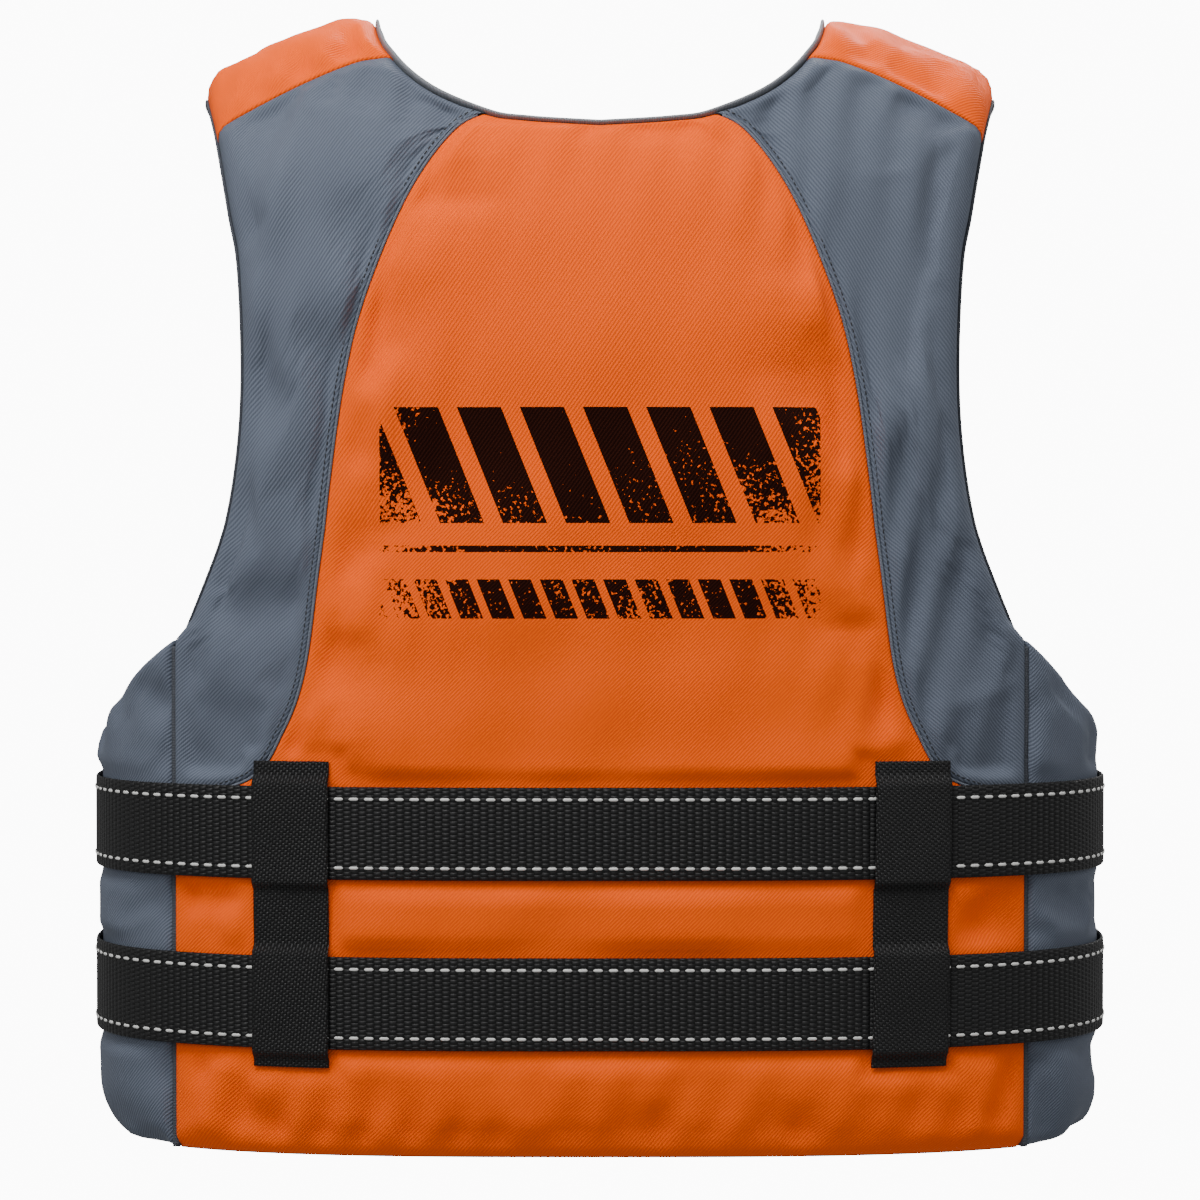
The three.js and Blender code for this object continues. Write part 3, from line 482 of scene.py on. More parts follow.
def twill(name, colour, dark, lean, print_mask=None):
    """Twill on the panel's own cloth coordinates: ridges run along u * lean + v."""
    made, tree, shader = new_material(name)
    cloth = add(tree, "UVMap", uv_map="cloth")
    split = tree.nodes.new("ShaderNodeSeparateXYZ")
    tree.links.new(cloth, split.inputs[0])
    u, v = split.outputs[0], split.outputs[1]
    turn = 2 * math.pi / (twill_pitch * math.sqrt(2))
    wander = add(tree, "TexNoise", named={"Vector": cloth, "Scale": 220.0, "Detail": 1.0})
    slant = add(tree, "Math", u, lean * turn, operation="MULTIPLY")
    slant = add(tree, "Math", v, turn, slant, operation="MULTIPLY_ADD")
    slant = add(tree, "Math", wander, 1.6, slant, operation="MULTIPLY_ADD")
    ridge_wave = add(tree, "Math", slant, operation="SINE")
    yarn = add(tree, "Math", u, 2 * math.pi / (0.9 * mm), operation="MULTIPLY")
    yarn = add(tree, "Math", yarn, operation="SINE")
    weave = add(tree, "Math", yarn, 0.25, ridge_wave, operation="MULTIPLY_ADD")
    tone = add(tree, "MapRange", weave, -1.2, 1.2, 0.0, 1.0)
    broad = add(tree, "TexNoise", named={"Vector": cloth, "Scale": 9.0, "Detail": 4.0, "Roughness": 0.6})
    tone = add(tree, "Math", broad, 0.5, tone, operation="MULTIPLY_ADD")
    mixed = add(tree, "Mix", data_type="RGBA", out=2, named={0: tone, 6: linear(dark), 7: linear(colour)})
    if print_mask is not None:
        mixed = print_mask(tree, cloth, mixed)
    tree.links.new(mixed, shader.inputs["Base Color"])
    bump = add(tree, "Bump", named={"Strength": 0.45, "Distance": 0.25 * mm, "Height": weave})
    tree.links.new(bump, shader.inputs["Normal"])
    shader.inputs["Roughness"].default_value = 0.62
    shader.inputs["Specular IOR Level"].default_value = 0.22
    shader.inputs["Specular Tint"].default_value = linear(colour)
    shader.inputs["Sheen Weight"].default_value = 0.06
    shader.inputs["Sheen Roughness"].default_value = 0.4
    shader.inputs["Sheen Tint"].default_value = linear(colour)
    return made


# The print on the back is flat black ink: a band of slanted bars, a thin rule and a band of short
# dashes, worn to speckles at two corners.
print_half = 118 * mm
bars_low, bars_high = 342 * mm, 404 * mm
rule_low, rule_high = 326.5 * mm, 330 * mm
dashes_low, dashes_high = 291 * mm, 312 * mm


def back_print(tree, cloth, below):
    """Lays black over the cloth colour inside the three bands of the print."""
    split = tree.nodes.new("ShaderNodeSeparateXYZ")
    place = add(tree, "TexCoord", out=3)
    tree.links.new(place, split.inputs[0])
    x, z = split.outputs[0], split.outputs[2]
    wide = add(tree, "Math", x, operation="ABSOLUTE")
    wide = add(tree, "Math", wide, print_half, operation="LESS_THAN")
    total = None
    for low, high, pitch, filled, lean in [(bars_low, bars_high, 33.71 * mm, 0.7, 0.4),
                                           (rule_low, rule_high, 1.0, 1.0, 0.0),
                                           (dashes_low, dashes_high, 16.86 * mm, 0.72, 0.4)]:
        above = add(tree, "Math", z, low, operation="GREATER_THAN")
        under = add(tree, "Math", z, high, operation="LESS_THAN")
        along = add(tree, "Math", z, -lean, x, operation="MULTIPLY_ADD")
        along = add(tree, "Math", along, print_half + lean * low + 1.0, operation="ADD")
        along = add(tree, "Math", along, pitch, operation="DIVIDE")
        along = add(tree, "Math", along, operation="FRACT")
        along = add(tree, "Math", along, filled, operation="LESS_THAN") if filled < 1 else 1.0
        band = add(tree, "Math", above, under, operation="MULTIPLY")
        band = add(tree, "Math", band, along, operation="MULTIPLY")
        total = band if total is None else add(tree, "Math", total, band, operation="ADD")
    grain = add(tree, "TexNoise", named={"Vector": place, "Scale": 520.0, "Detail": 2.0})
    patch = add(tree, "TexNoise", named={"Vector": place, "Scale": 22.0, "Detail": 1.0})
    far_out = add(tree, "Math", add(tree, "Math", x, operation="ABSOLUTE"), 1 / print_half,
                  operation="MULTIPLY")
    low_down = add(tree, "MapRange", z, bars_low, bars_low + 45 * mm, 0.16, 0.0)
    loss = add(tree, "Math", add(tree, "Math", far_out, 3.0, operation="POWER"), 0.22, low_down,
               operation="MULTIPLY_ADD")
    worn = add(tree, "Math", patch, 0.45, grain, operation="MULTIPLY_ADD")
    worn = add(tree, "Math", worn, loss, operation="ADD")
    worn = add(tree, "Math", worn, 1.02, operation="LESS_THAN")
    ink = add(tree, "Math", total, wide, operation="MULTIPLY")
    ink = add(tree, "Math", ink, worn, operation="MULTIPLY")
    return add(tree, "Mix", data_type="RGBA", out=2, named={0: ink, 6: below, 7: linear("#0C0A0A")})


orange, orange_dark = "#FF6200", "#FA4F00"
grey, grey_dark = "#646B78", "#464C58"
orange_print = twill("polyester_twill_printed", orange, orange_dark, 1, back_print)
orange_cloth = twill("polyester_twill_orange", orange, orange_dark, 1)
grey_cloth = {1: twill("polyester_twill_grey_left", grey, grey_dark, 1),
              -1: twill("polyester_twill_grey_right", grey, grey_dark, -1)}

foam_depth = 27.5 * mm
seam_round = 2.2 * mm
edge_round = 13 * mm
neck_round = 6 * mm
hem_round = 9 * mm
seam_half = 0.5 * mm


def beside(curve, distance):
    """A curve moved to its right, in the flat, by a distance."""
    def moved(t):
        """The curve at t, plus distance times the unit right-hand side of its run."""
        t = np.asarray(t, float)
        a, b = curve(np.clip(t - 0.002, 0, 1)), curve(np.clip(t + 0.002, 0, 1))
        run = (b - a) / np.linalg.norm(b - a, axis=-1, keepdims=True)
        return curve(t) + distance * np.stack([run[..., 1], -run[..., 0]], axis=-1)
    return moved


def grows(low, high, start, end):
    """A radius that grows from low to high between two shares of an edge."""
    return lambda v: low + (high - low) * np.clip((v - start) / (end - start), 0, 1)


centre_edge = beside(joined(side_low, back_seam, 0.28), -seam_half)
back_centre = padded_panel(
    "back_centre_cushion", on_side(centre_edge, -1), centre_edge, hem_round, neck_round,
    seam_round, seam_round, foam_depth, 150, 130, top=top_over(back_neck), seed=3)
back_centre.data.materials.append(orange_print)
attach(back_centre, "vest")
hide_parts("back_centre_panel", "back_foam")


def yoke_edges(seam, neck, cap_neck):
    """Inner and outer edge of a grey panel: seam then neck, and side seam then armhole."""
    seam_end = seam(np.array(1.0)) / mm
    z_end = float(torso(seam_end[0] * mm, seam_end[1] * mm)[2]) / mm
    rise = part_of(neck, nearest(neck, seam_end[0], z_end), nearest(neck, *cap_neck))
    inner = beside(joined(part_of(seam, 0.03, 1), rise, 0.8), seam_half)
    foot = float(inner(np.array(0.0))[1])
    low = straight((seam_x * mm, foot), (seam_x * mm, 279 * mm))
    outer = joined(low, part_of(armhole, 0, nearest(armhole, *cap_arm)), 0.21)
    return inner, beside(outer, -seam_half)


hands = [(1, "left"), (-1, "right")]
for side, hand in hands:
    inner, outer = yoke_edges(back_seam, back_neck, cap_back_neck)
    piece = padded_panel(
        f"back_side_cushion_{hand}", on_side(inner, side), on_side(outer, side), 1 * mm, seam_round,
        grows(seam_round, neck_round, 0.79, 0.84), grows(seam_round, edge_round, 0.2, 0.25),
        foam_depth, 150, 60, seed=11 + side, gather=2.4 * mm)
    piece.data.materials.append(grey_cloth[side])
    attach(piece, "vest")
    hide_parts(f"back_side_panel_{hand}")

# ------------------------------------------------------------------ front panels
# Two half fronts of the same build, orange with grey yokes, rolled over at the zip edge.
for side, hand in hands:
    edge = beside(joined(side_low, front_seam, 0.28), -seam_half)
    zip_edge = straight((zip_x * mm, 0), (zip_x * mm, float(cloth_height(zip_x * mm, 460 * mm))))
    over = top_over(front_neck)
    piece = padded_panel(
        f"front_cushion_{hand}", on_side(to_front(zip_edge), side), on_side(to_front(edge), side),
        hem_round, neck_round, 12 * mm, seam_round, foam_depth, 110, 60,
        top=lambda x: 2 * ridge - over(x), seed=21 + side)
    piece.data.materials.append(orange_cloth)
    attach(piece, "vest")
    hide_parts(f"front_panel_{hand}", f"front_foam_{hand}")
    inner, outer = yoke_edges(front_seam, front_neck, cap_front_neck)
    piece = padded_panel(
        f"front_yoke_cushion_{hand}", on_side(to_front(inner), side), on_side(to_front(outer), side),
        1 * mm, seam_round, grows(seam_round, neck_round, 0.79, 0.84),
        grows(seam_round, edge_round, 0.2, 0.25),
        foam_depth, 130, 50, seed=31 + side, gather=1.5 * mm)
    piece.data.materials.append(grey_cloth[-side])
    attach(piece, "vest")
    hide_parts(f"front_yoke_{hand}")

# ------------------------------------------------------------------ shoulders
# Orange caps over soft pads join the back to the front, each with a second folded tab of the
# same cloth sewn on the ridge.


def flat_size(face):
    """Width and length of a grid laid flat, and its area."""
    one, two = np.diff(face, axis=1)[:-1], np.diff(face, axis=0)[:, :-1]
    area = float(np.linalg.norm(np.cross(one, two), axis=-1).sum())
    wide = float(np.linalg.norm(np.diff(face, axis=1), axis=-1).sum(1).max())
    tall = float(np.linalg.norm(np.diff(face, axis=0), axis=-1).sum(0).max())
    return wide, max(tall, area / wide * 1.02), area


def over_shoulder(back, back_point, front, front_point):
    """Up one edge, over the ridge and down the other."""
    up = part_of(back, nearest(back, *back_point), 1)
    down = to_front(reverse(part_of(front, nearest(front, *front_point), 1)))
    return joined(up, down)


for side, hand in hands:
    neck_edge = over_shoulder(back_neck, cap_back_neck, front_neck, cap_front_neck)
    arm_edge = over_shoulder(armhole, cap_arm, armhole, cap_arm)
    piece = padded_panel(
        f"shoulder_cushion_{hand}", on_side(neck_edge, side), on_side(arm_edge, side),
        seam_round, seam_round,
        neck_round, edge_round, foam_depth, 70, 50, seed=41 + side, swell=2 * mm)
    piece.data.materials.append(orange_cloth)
    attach(piece, "vest")
    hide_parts(f"shoulder_cap_{hand}", f"shoulder_pad_{hand}")
    tab_inner, tab_outer = 152 * mm, 216 * mm
    u = np.linspace(0, 1, 24)
    v = np.linspace(0, 1, 36)
    x = side * (tab_inner + (tab_outer - tab_inner) * u[None, :]) + 0 * v[:, None]
    h = ridge - 14 * mm + 109 * mm * v[:, None] + 0 * x
    soft = 0.6 * mm * waves(x, h, 60 * mm, 51)
    base = 0.7 * mm + soft * 0.5
    piece = two_sided(f"shoulder_tab_cloth_{hand}", on_torso(x, h, base + 1.8 * mm),
                      on_torso(x, h, base - 0.6 * mm), np.stack([x, h], axis=-1))
    rim = piece.modifiers.new("rounded_fold", "BEVEL")
    rim.width = 0.6 * mm
    rim.segments = 2
    piece.data.materials.append(orange_cloth)
    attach(piece, "vest")
    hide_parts(f"shoulder_tab_{hand}")
    wide, tall, area = flat_size(on_torso(x, h, base))

# ------------------------------------------------------------------ side gussets
# A thinner padded panel of grey cloth wraps each side under the arm between the two side seams.
gusset_low = 226 * mm
gusset_foot = 279 * mm
seam_depth = half_depth * float(plan_depth(seam_x * mm))


def plan(angle, offset=0.0):
    """A point of the plan superellipse in a direction, moved out along its normal."""
    sin, cos = np.sin(angle), np.cos(angle)
    reach = (np.abs(sin) ** plan_power + np.abs(cos) ** plan_power) ** (-1 / plan_power)
    x, y = half_width * sin * reach, half_depth * cos * reach
    nx = np.sign(x) * (np.abs(x) / half_width) ** (plan_power - 1) / half_width
    ny = np.sign(y) * (np.abs(y) / half_depth) ** (plan_power - 1) / half_depth
    length = np.hypot(nx, ny)
    return x + offset * nx / length, y + offset * ny / length


def plan_angle(x):
    """The direction in which the plan reaches a half-width."""
    return math.atan2(x / half_width, float(plan_depth(x)))


side_depth = 13.6 * mm
gusset_round = 5 * mm
hem_tuck = 20 * mm
hem_tuck_height = 34 * mm
for side, hand in hands:
    start = plan_angle((seam_x + 1.0) * mm)
    angle = np.linspace(start, math.pi - start, 400)
    px, py = plan(angle)
    length = np.concatenate([[0], np.cumsum(np.hypot(np.diff(px), np.diff(py)))])
    across = spaced(length[-1], gusset_round, gusset_round, 70)[0]
    turn = np.interp(across, length, angle)
    depth = np.abs(plan(turn)[1])
    top = gusset_low + (gusset_foot - gusset_low) * (depth / seam_depth) ** 2.3
    up = spaced(gusset_foot, 6.8 * mm, 6.8 * mm, 90)[0][:, None] / gusset_foot * top[None, :]
    left_over = top[None, :] - up
    drops = [fall(across, gusset_round)[None, :] + 0 * up,
             fall(length[-1] - across, gusset_round)[None, :] + 0 * up,
             fall(up, 6.8 * mm), fall(left_over, 6.8 * mm)]
    drop = np.max(drops, axis=0)
    edge = np.minimum.reduce([across + 0 * up, length[-1] - across + 0 * up, up, left_over])
    tuck = hem_tuck * (1 - np.sqrt(1 - (1 - np.clip(up / hem_tuck_height, 0, 1)) ** 2))
    tuck = tuck * np.sin(np.clip(across / length[-1], 0, 1) * math.pi)[None, :] ** 0.5
    ripple = waves(across[None, :] + 0 * up, up, 42 * mm, 61 + side) * np.exp(-edge / (22 * mm))
    free = pressed(0 * up, up)
    relief = free * (1.6 * mm * ripple * np.clip(edge / (4 * mm), 0, 1) + 1.4 * mm * waves(
        across[None, :] + 0 * up, up, 120 * mm, 65 + side))
    outer_offset = -drop - tuck + relief - 0.6 * mm
    inner_offset = np.minimum(-side_depth - tuck + drop, outer_offset - 0.05 * mm)
    faces = []
    for offset in (outer_offset, inner_offset):
        gx, gy = plan(turn[None, :] + 0 * up, offset)
        faces.append(np.stack([side * gx, gy, up], axis=-1))
    faces[0] = faces[0] + settle(faces[0], 0.02, 2.5 * mm) * free[..., None]
    piece = two_sided(f"side_cushion_{hand}", faces[0], faces[1],
                      np.stack([across[None, :] + 0 * up, up], axis=-1))
    piece.data.materials.append(grey_cloth[side])
    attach(piece, "vest")
    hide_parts(f"side_gusset_{hand}", f"side_pad_{hand}")

# ------------------------------------------------------------------ lining
# Dark close mesh cloth covers the inside of every slab, cut to the slab's outline.
lining_material, tree, shader = new_material("lining_mesh_knit")
cloth = add(tree, "UVMap", uv_map="cloth")
holes = add(tree, "TexVoronoi", named={"Vector": cloth, "Scale": 600.0, "Randomness": 0.15})
shade = add(tree, "MapRange", holes, 0.2, 0.6, 0.0, 1.0)
shade = add(tree, "Mix", data_type="RGBA", out=2,
            named={0: shade, 6: linear("#1B1D21"), 7: linear("#34373D")})
tree.links.new(shade, shader.inputs["Base Color"])
relief = add(tree, "Bump", named={"Strength": 0.5, "Distance": 0.3 * mm, "Height": holes})
tree.links.new(relief, shader.inputs["Normal"])
shader.inputs["Roughness"].default_value = 0.85


def lining_sheet(name, left, right, top, nodes, rows=60, columns=60):
    """A thin sheet just behind a slab, from its left to its right edge."""
    v = np.linspace(0.006, 0.992, rows)
    u = np.linspace(0.006, 0.994, columns)
    a, b = left(v), right(v)
    x = a[:, :1] + (b[:, :1] - a[:, :1]) * u
    h = a[:, 1:] + (b[:, 1:] - a[:, 1:]) * u
    if top is not None:
        ends = straight(left(np.array(1.0)), right(np.array(1.0)))(u)
        h = h + v[:, None] * (top(ends[:, 0]) - ends[:, 1])[None, :]
    sag = 0.8 * mm * waves(x, h, 120 * mm, 71)
    depth = -foam_depth - 1.6 * mm
    piece = two_sided(name, on_torso(x, h, depth + sag), on_torso(x, h, depth - 0.8 * mm + sag),
                      np.stack([x, h], axis=-1))
    piece.data.materials.append(lining_material)
    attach(piece, "vest")
    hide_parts(*nodes)
    return piece


side_seam = straight((seam_x * mm, 0), (seam_x * mm, 279 * mm))
whole_edge = beside(joined(side_seam, part_of(armhole, 0, nearest(armhole, *cap_arm)), 0.47), -7 * mm)
back_level = float(whole_edge(np.array(1.0))[1])
back_top = top_over(back_neck)
lining_sheet("back_lining_cloth", on_side(whole_edge, -1), whole_edge,
             lambda x: np.minimum(back_top(x), back_level) - 5 * mm, ["back_lining"],
             80, 80)
for side, hand in hands:
    zip_line = straight(((zip_x + 6) * mm, 0), ((zip_x + 6) * mm, 455 * mm))
    front_edge = beside(joined(side_seam, part_of(armhole, 0, nearest(armhole, 210, 529)), 0.47), -7 * mm)
    level = float(front_edge(np.array(1.0))[1])
    front_top = top_over(front_neck)
    lining_sheet(f"front_lining_cloth_{hand}", on_side(to_front(zip_line), side),
                 on_side(to_front(front_edge), side),
                 lambda x: 2 * ridge - np.minimum(front_top(x), level) + 5 * mm, [f"front_lining_{hand}"],
                 70, 40)
    shoulder_neck = beside(over_shoulder(back_neck, (61, 566), front_neck, (84, 531)), 8 * mm)
    shoulder_arm = beside(over_shoulder(armhole, cap_arm, armhole, (210, 529)), -8 * mm)
    lining_sheet(f"shoulder_lining_cloth_{hand}", on_side(shoulder_neck, side), on_side(shoulder_arm, side),
                 None, [f"shoulder_lining_{hand}"], 60, 30)

# ------------------------------------------------------------------ bindings and piping
# Folded grosgrain tape closes the neck and armhole rims, and a thin piping cord fills each
# colour seam, with a row of dark stitches beside it.


def tape_material(name, colour, dark, pitch):
    """Grosgrain: close ribs across the tape, on its own cloth coordinates."""
    made, tree, shader = new_material(name)
    cloth = add(tree, "UVMap", uv_map="cloth")
    split = tree.nodes.new("ShaderNodeSeparateXYZ")
    tree.links.new(cloth, split.inputs[0])
    rib = add(tree, "Math", split.outputs[0], 2 * math.pi / pitch, operation="MULTIPLY")
    rib = add(tree, "Math", rib, operation="SINE")
    tone = add(tree, "MapRange", rib, -1.0, 1.0, 0.0, 1.0)
    tone = add(tree, "Mix", data_type="RGBA", out=2, named={0: tone, 6: linear(dark), 7: linear(colour)})
    tree.links.new(tone, shader.inputs["Base Color"])
    relief = add(tree, "Bump", named={"Strength": 0.5, "Distance": 0.2 * mm, "Height": rib})
    tree.links.new(relief, shader.inputs["Normal"])
    shader.inputs["Roughness"].default_value = 0.8
    return made


def tube(name, path, across, out, half_wide, half_thick, sides=10, power=2.0):
    """A superelliptic section of two half-sizes carried along a path with its two directions."""
    turn = np.linspace(0, 2 * math.pi, sides, endpoint=False)
    a = np.sign(np.cos(turn)) * np.abs(np.cos(turn)) ** (2 / power) * half_wide
    b = np.sign(np.sin(turn)) * np.abs(np.sin(turn)) ** (2 / power) * half_thick
    points = path[:, None, :] + across[:, None, :] * a[None, :, None] + out[:, None, :] * b[None, :, None]
    count = len(path)
    index = np.arange(count * sides).reshape(count, sides)
    after = np.roll(index, -1, axis=1)
    quads = np.stack([index[:-1], after[:-1], after[1:], index[1:]], axis=-1).reshape(-1, 4).tolist()
    caps = [index[0][::-1].tolist(), index[-1].tolist()]
    step = np.concatenate([[0], np.cumsum(np.linalg.norm(np.diff(path, axis=0), axis=1))])
    uv = np.stack([step[:, None] + 0 * a[None, :], turn[None, :] * half_wide + 0 * step[:, None]], axis=-1)
    mesh = bpy.data.meshes.new(name)
    mesh.from_pydata(points.reshape(-1, 3).tolist(), [], quads + caps)
    layer = mesh.uv_layers.new(name="cloth")
    corners = np.empty(len(mesh.loops), dtype=np.int32)
    mesh.loops.foreach_get("vertex_index", corners)
    layer.data.foreach_set("uv", uv.reshape(-1, 2)[corners].astype(np.float32).ravel())
    mesh.polygons.foreach_set("use_smooth", np.full(len(mesh.polygons), True))
    made = bpy.data.objects.new(name, mesh)
    scene.collection.objects.link(made)
    tidy_normals(made, 0.001 * mm)
    return made


def rim_directions(curve, t, side, offset):
    """Along a rim: the points, the direction away from the cloth and the outward normal."""
    place = curve(t)
    x, h = place[:, 0], place[:, 1]
    normal = torso_normal(x, h)
    path = on_torso(x, h, offset)
    run = np.gradient(path, axis=0)
    away = np.cross(normal, run) * side
    return path, away / np.linalg.norm(away, axis=-1, keepdims=True), normal


neck_tape = tape_material("grosgrain_tape_grey", "#8E9196", "#6A6D73", 0.9 * mm)
arm_tape = tape_material("grosgrain_tape_dark", "#474B53", "#30333A", 0.9 * mm)
half_neck = joined(to_front(front_neck), reverse(back_neck))
neck_loop = lambda t: np.where((t < 0.5)[:, None], half_neck(np.clip(2 * t, 0, 1)),
                               half_neck(np.clip(2 - 2 * t, 0, 1)) * [-1, 1])
t = np.linspace(0.0, 1.0, 500)
path, away, normal = rim_directions(neck_loop, t, 1, -7 * mm)
piece = tube("neck_tape", path + away * 0.6 * mm, normal, away, 6 * mm, 1.3 * mm, 12, 3.0)
piece.data.materials.append(neck_tape)
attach(piece, "vest")
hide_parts("neck_binding")
for side, hand in hands:
    loop = on_side(joined(armhole, to_front(reverse(armhole))), side)
    path, away, normal = rim_directions(loop, np.linspace(0.004, 0.996, 360), side, -16 * mm)
    piece = tube(f"armhole_tape_{hand}", path + away * 0.3 * mm, normal, away, 5 * mm, 1.2 * mm, 10, 3.0)
    piece.data.materials.append(arm_tape)
    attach(piece, "vest")
    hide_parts(f"armhole_binding_{hand}")

piping = tape_material("piping_cord_grey", "#6E7582", "#4E545F", 0.8 * mm)
thread_material, tree, shader = new_material("polyester_thread_dark")
shader.inputs["Base Color"].default_value = linear("#23262B")
shader.inputs["Roughness"].default_value = 0.6


def stitches(name, middles, along, out, length, wide, thick, material, body="vest"):
    """A row of short thread stitches: each is one flattened six-sided lozenge."""
    ring = np.linspace(0, 2 * math.pi, 6, endpoint=False)
    side_way = np.cross(along, out)
    rings = []
    for place, grow in [(-0.5, 0.35), (-0.32, 1.0), (0.32, 1.0), (0.5, 0.35)]:
        spot = middles + along * (place * length)
        sideways = side_way[:, None, :] * (np.cos(ring) * wide / 2 * grow)[None, :, None]
        rings.append(spot[:, None, :] + sideways
                     + out[:, None, :] * (np.sin(ring) * thick / 2 * grow)[None, :, None])
    points = np.stack(rings, axis=1)
    count = len(middles)
    one = np.arange(24).reshape(4, 6)
    after = np.roll(one, -1, axis=1)
    faces = np.stack([one[:-1], after[:-1], after[1:], one[1:]], axis=-1).reshape(-1, 4)
    whole = (faces[None] + (np.arange(count) * 24)[:, None, None]).reshape(-1, 4).tolist()
    ends = np.stack([one[0][::-1], one[-1]])
    whole += (ends[None] + (np.arange(count) * 24)[:, None, None]).reshape(-1, 6).tolist()
    mesh = bpy.data.meshes.new(name)
    mesh.from_pydata(points.reshape(-1, 3).tolist(), [], whole)
    mesh.polygons.foreach_set("use_smooth", np.full(len(mesh.polygons), True))
    made = bpy.data.objects.new(name, mesh)
    scene.collection.objects.link(made)
    tidy_normals(made, 0.0001 * mm)
    made.data.materials.append(material)
    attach(made, body)
    return made


def along_curve(curve, pitch, side_shift, offset):
    """Evenly spaced places along a cloth curve with the run and the outward normal."""
    dense = curve(np.linspace(0, 1, 3000))
    path = on_torso(dense[:, 0], dense[:, 1], offset)
    length = np.concatenate([[0], np.cumsum(np.linalg.norm(np.diff(path, axis=0), axis=1))])
    at = np.arange(pitch / 2, length[-1], pitch)
    flat = np.stack([np.interp(at, length, dense[:, k]) for k in (0, 1)], axis=-1)
    normal = torso_normal(flat[:, 0], flat[:, 1])
    middle = np.stack([np.interp(at, length, path[:, k]) for k in range(3)], axis=-1)
    run = np.gradient(middle, axis=0)
    run = run / np.linalg.norm(run, axis=-1, keepdims=True)
    return middle + np.cross(run, normal) * side_shift, run, normal


for face, seam, turned in [("back", back_seam, lambda c: c), ("front", front_seam, to_front)]:
    for side, hand in hands:
        curve = on_side(turned(part_of(seam, 0.0, 0.985)), side)
        flat = curve(np.linspace(0, 1, 260))
        path = on_torso(flat[:, 0], flat[:, 1], -2.6 * mm)
        normal = torso_normal(flat[:, 0], flat[:, 1])
        run = np.gradient(path, axis=0)
        sideways = np.cross(run, normal)
        sideways = sideways / np.linalg.norm(sideways, axis=-1, keepdims=True)
        piece = tube(f"{face}_piping_{hand}", path, sideways, normal, 0.9 * mm, 0.9 * mm, 8)
        piece.data.materials.append(piping)
        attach(piece, "vest")
        shift = (-1 if face == "back" else 1) * side * 3.4 * mm
        middles, run, normal = along_curve(curve, 3.4 * mm, shift, -1.9 * mm)
        stitches(f"{face}_topstitch_{hand}", middles, run, normal, 2.4 * mm, 0.7 * mm, 0.6 * mm,
                 thread_material)

# Down each side seam a dark tube in the valley between the panel and the gusset is painted shade: it stands
# for the shadow down the seam, drawn in the dark armhole tape colour.
for face, turned in [("back", lambda c: c), ("front", to_front)]:
    for side, hand in hands:
        t = np.linspace(0.004, 0.985, 160)
        flat = on_side(turned(side_seam), side)(t) + [side * 0.25 * mm, 0]
        path = on_torso(flat[:, 0], flat[:, 1], -5.5 * mm)
        normal = torso_normal(flat[:, 0], flat[:, 1])
        sideways = np.cross(np.gradient(path, axis=0), normal)
        sideways = sideways / np.linalg.norm(sideways, axis=-1, keepdims=True)
        # Painted shade: this dark tube is the seam's shadow, not cloth of its own colour.
        piece = tube(f"{face}_seam_fold_{hand}", path, sideways, normal, 2.2 * mm, 3.0 * mm, 10)
        piece.data.materials.append(arm_tape)
        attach(piece, "vest")

# ------------------------------------------------------------------ webbing
# Heavy black polypropylene webbing, 50 mm wide: cross ribs 4 mm apart, each a stack of plump
# yarns, which catch small glints, partly from the shader and partly painted as a lighter colour on each yarn
# top, with painted shade between. Two rows of pale reflective thread run near its edges.
rib_pitch = 4.1 * mm
yarn_pitch = 2.5 * mm


def webbing_material(name, across_pitch, along_pitch, lean):
    """Yarn bumps in brick order: columns across the run and rows up it, each bump round; the colour is
    lighter on bump tops (painted glint) and darker between them (painted shade).
    """
    made, tree, shader = new_material(name)
    cloth = add(tree, "UVMap", uv_map="cloth")
    split = tree.nodes.new("ShaderNodeSeparateXYZ")
    tree.links.new(cloth, split.inputs[0])
    u = add(tree, "Math", split.outputs[1], lean, split.outputs[0], operation="MULTIPLY_ADD")
    u = add(tree, "Math", u, across_pitch, operation="DIVIDE")
    column = add(tree, "Math", u, operation="FLOOR")
    half = add(tree, "Math", column, 0.5, operation="MULTIPLY")
    v = add(tree, "Math", split.outputs[1], 1 / along_pitch, half, operation="MULTIPLY_ADD")
    u = add(tree, "Math", add(tree, "Math", u, operation="FRACT"), math.pi, operation="MULTIPLY")
    v = add(tree, "Math", add(tree, "Math", v, operation="FRACT"), math.pi, operation="MULTIPLY")
    bulge = add(tree, "Math", add(tree, "Math", u, operation="SINE"), add(tree, "Math", v, operation="SINE"),
                operation="MULTIPLY")
    bulge = add(tree, "Math", bulge, 0.5, operation="POWER")
    # Painted highlight and shade: the colour lightens on each yarn bump's top and darkens between bumps.
    tone = add(tree, "Mix", data_type="RGBA", out=2,
               named={0: bulge, 6: linear("#020202"), 7: linear("#161617")})
    tree.links.new(tone, shader.inputs["Base Color"])
    tree.links.new(add(tree, "Bump", named={"Strength": 1.0, "Distance": 0.7 * mm, "Height": bulge}),
                   shader.inputs["Normal"])
    shader.inputs["Roughness"].default_value = 0.5
    shader.inputs["Specular IOR Level"].default_value = 0.3
    return made


belt_webbing = webbing_material("polypropylene_webbing_ribbed", rib_pitch, yarn_pitch, 0.0)
keeper_webbing = webbing_material("polypropylene_webbing_plain", 1.7 * mm, 2.6 * mm, 0.12)
reflective, tree, shader = new_material("reflective_thread_silver")
shader.inputs["Base Color"].default_value = linear("#D2D2CF")
shader.inputs["Roughness"].default_value = 0.45
belt_thick = 2.0 * mm


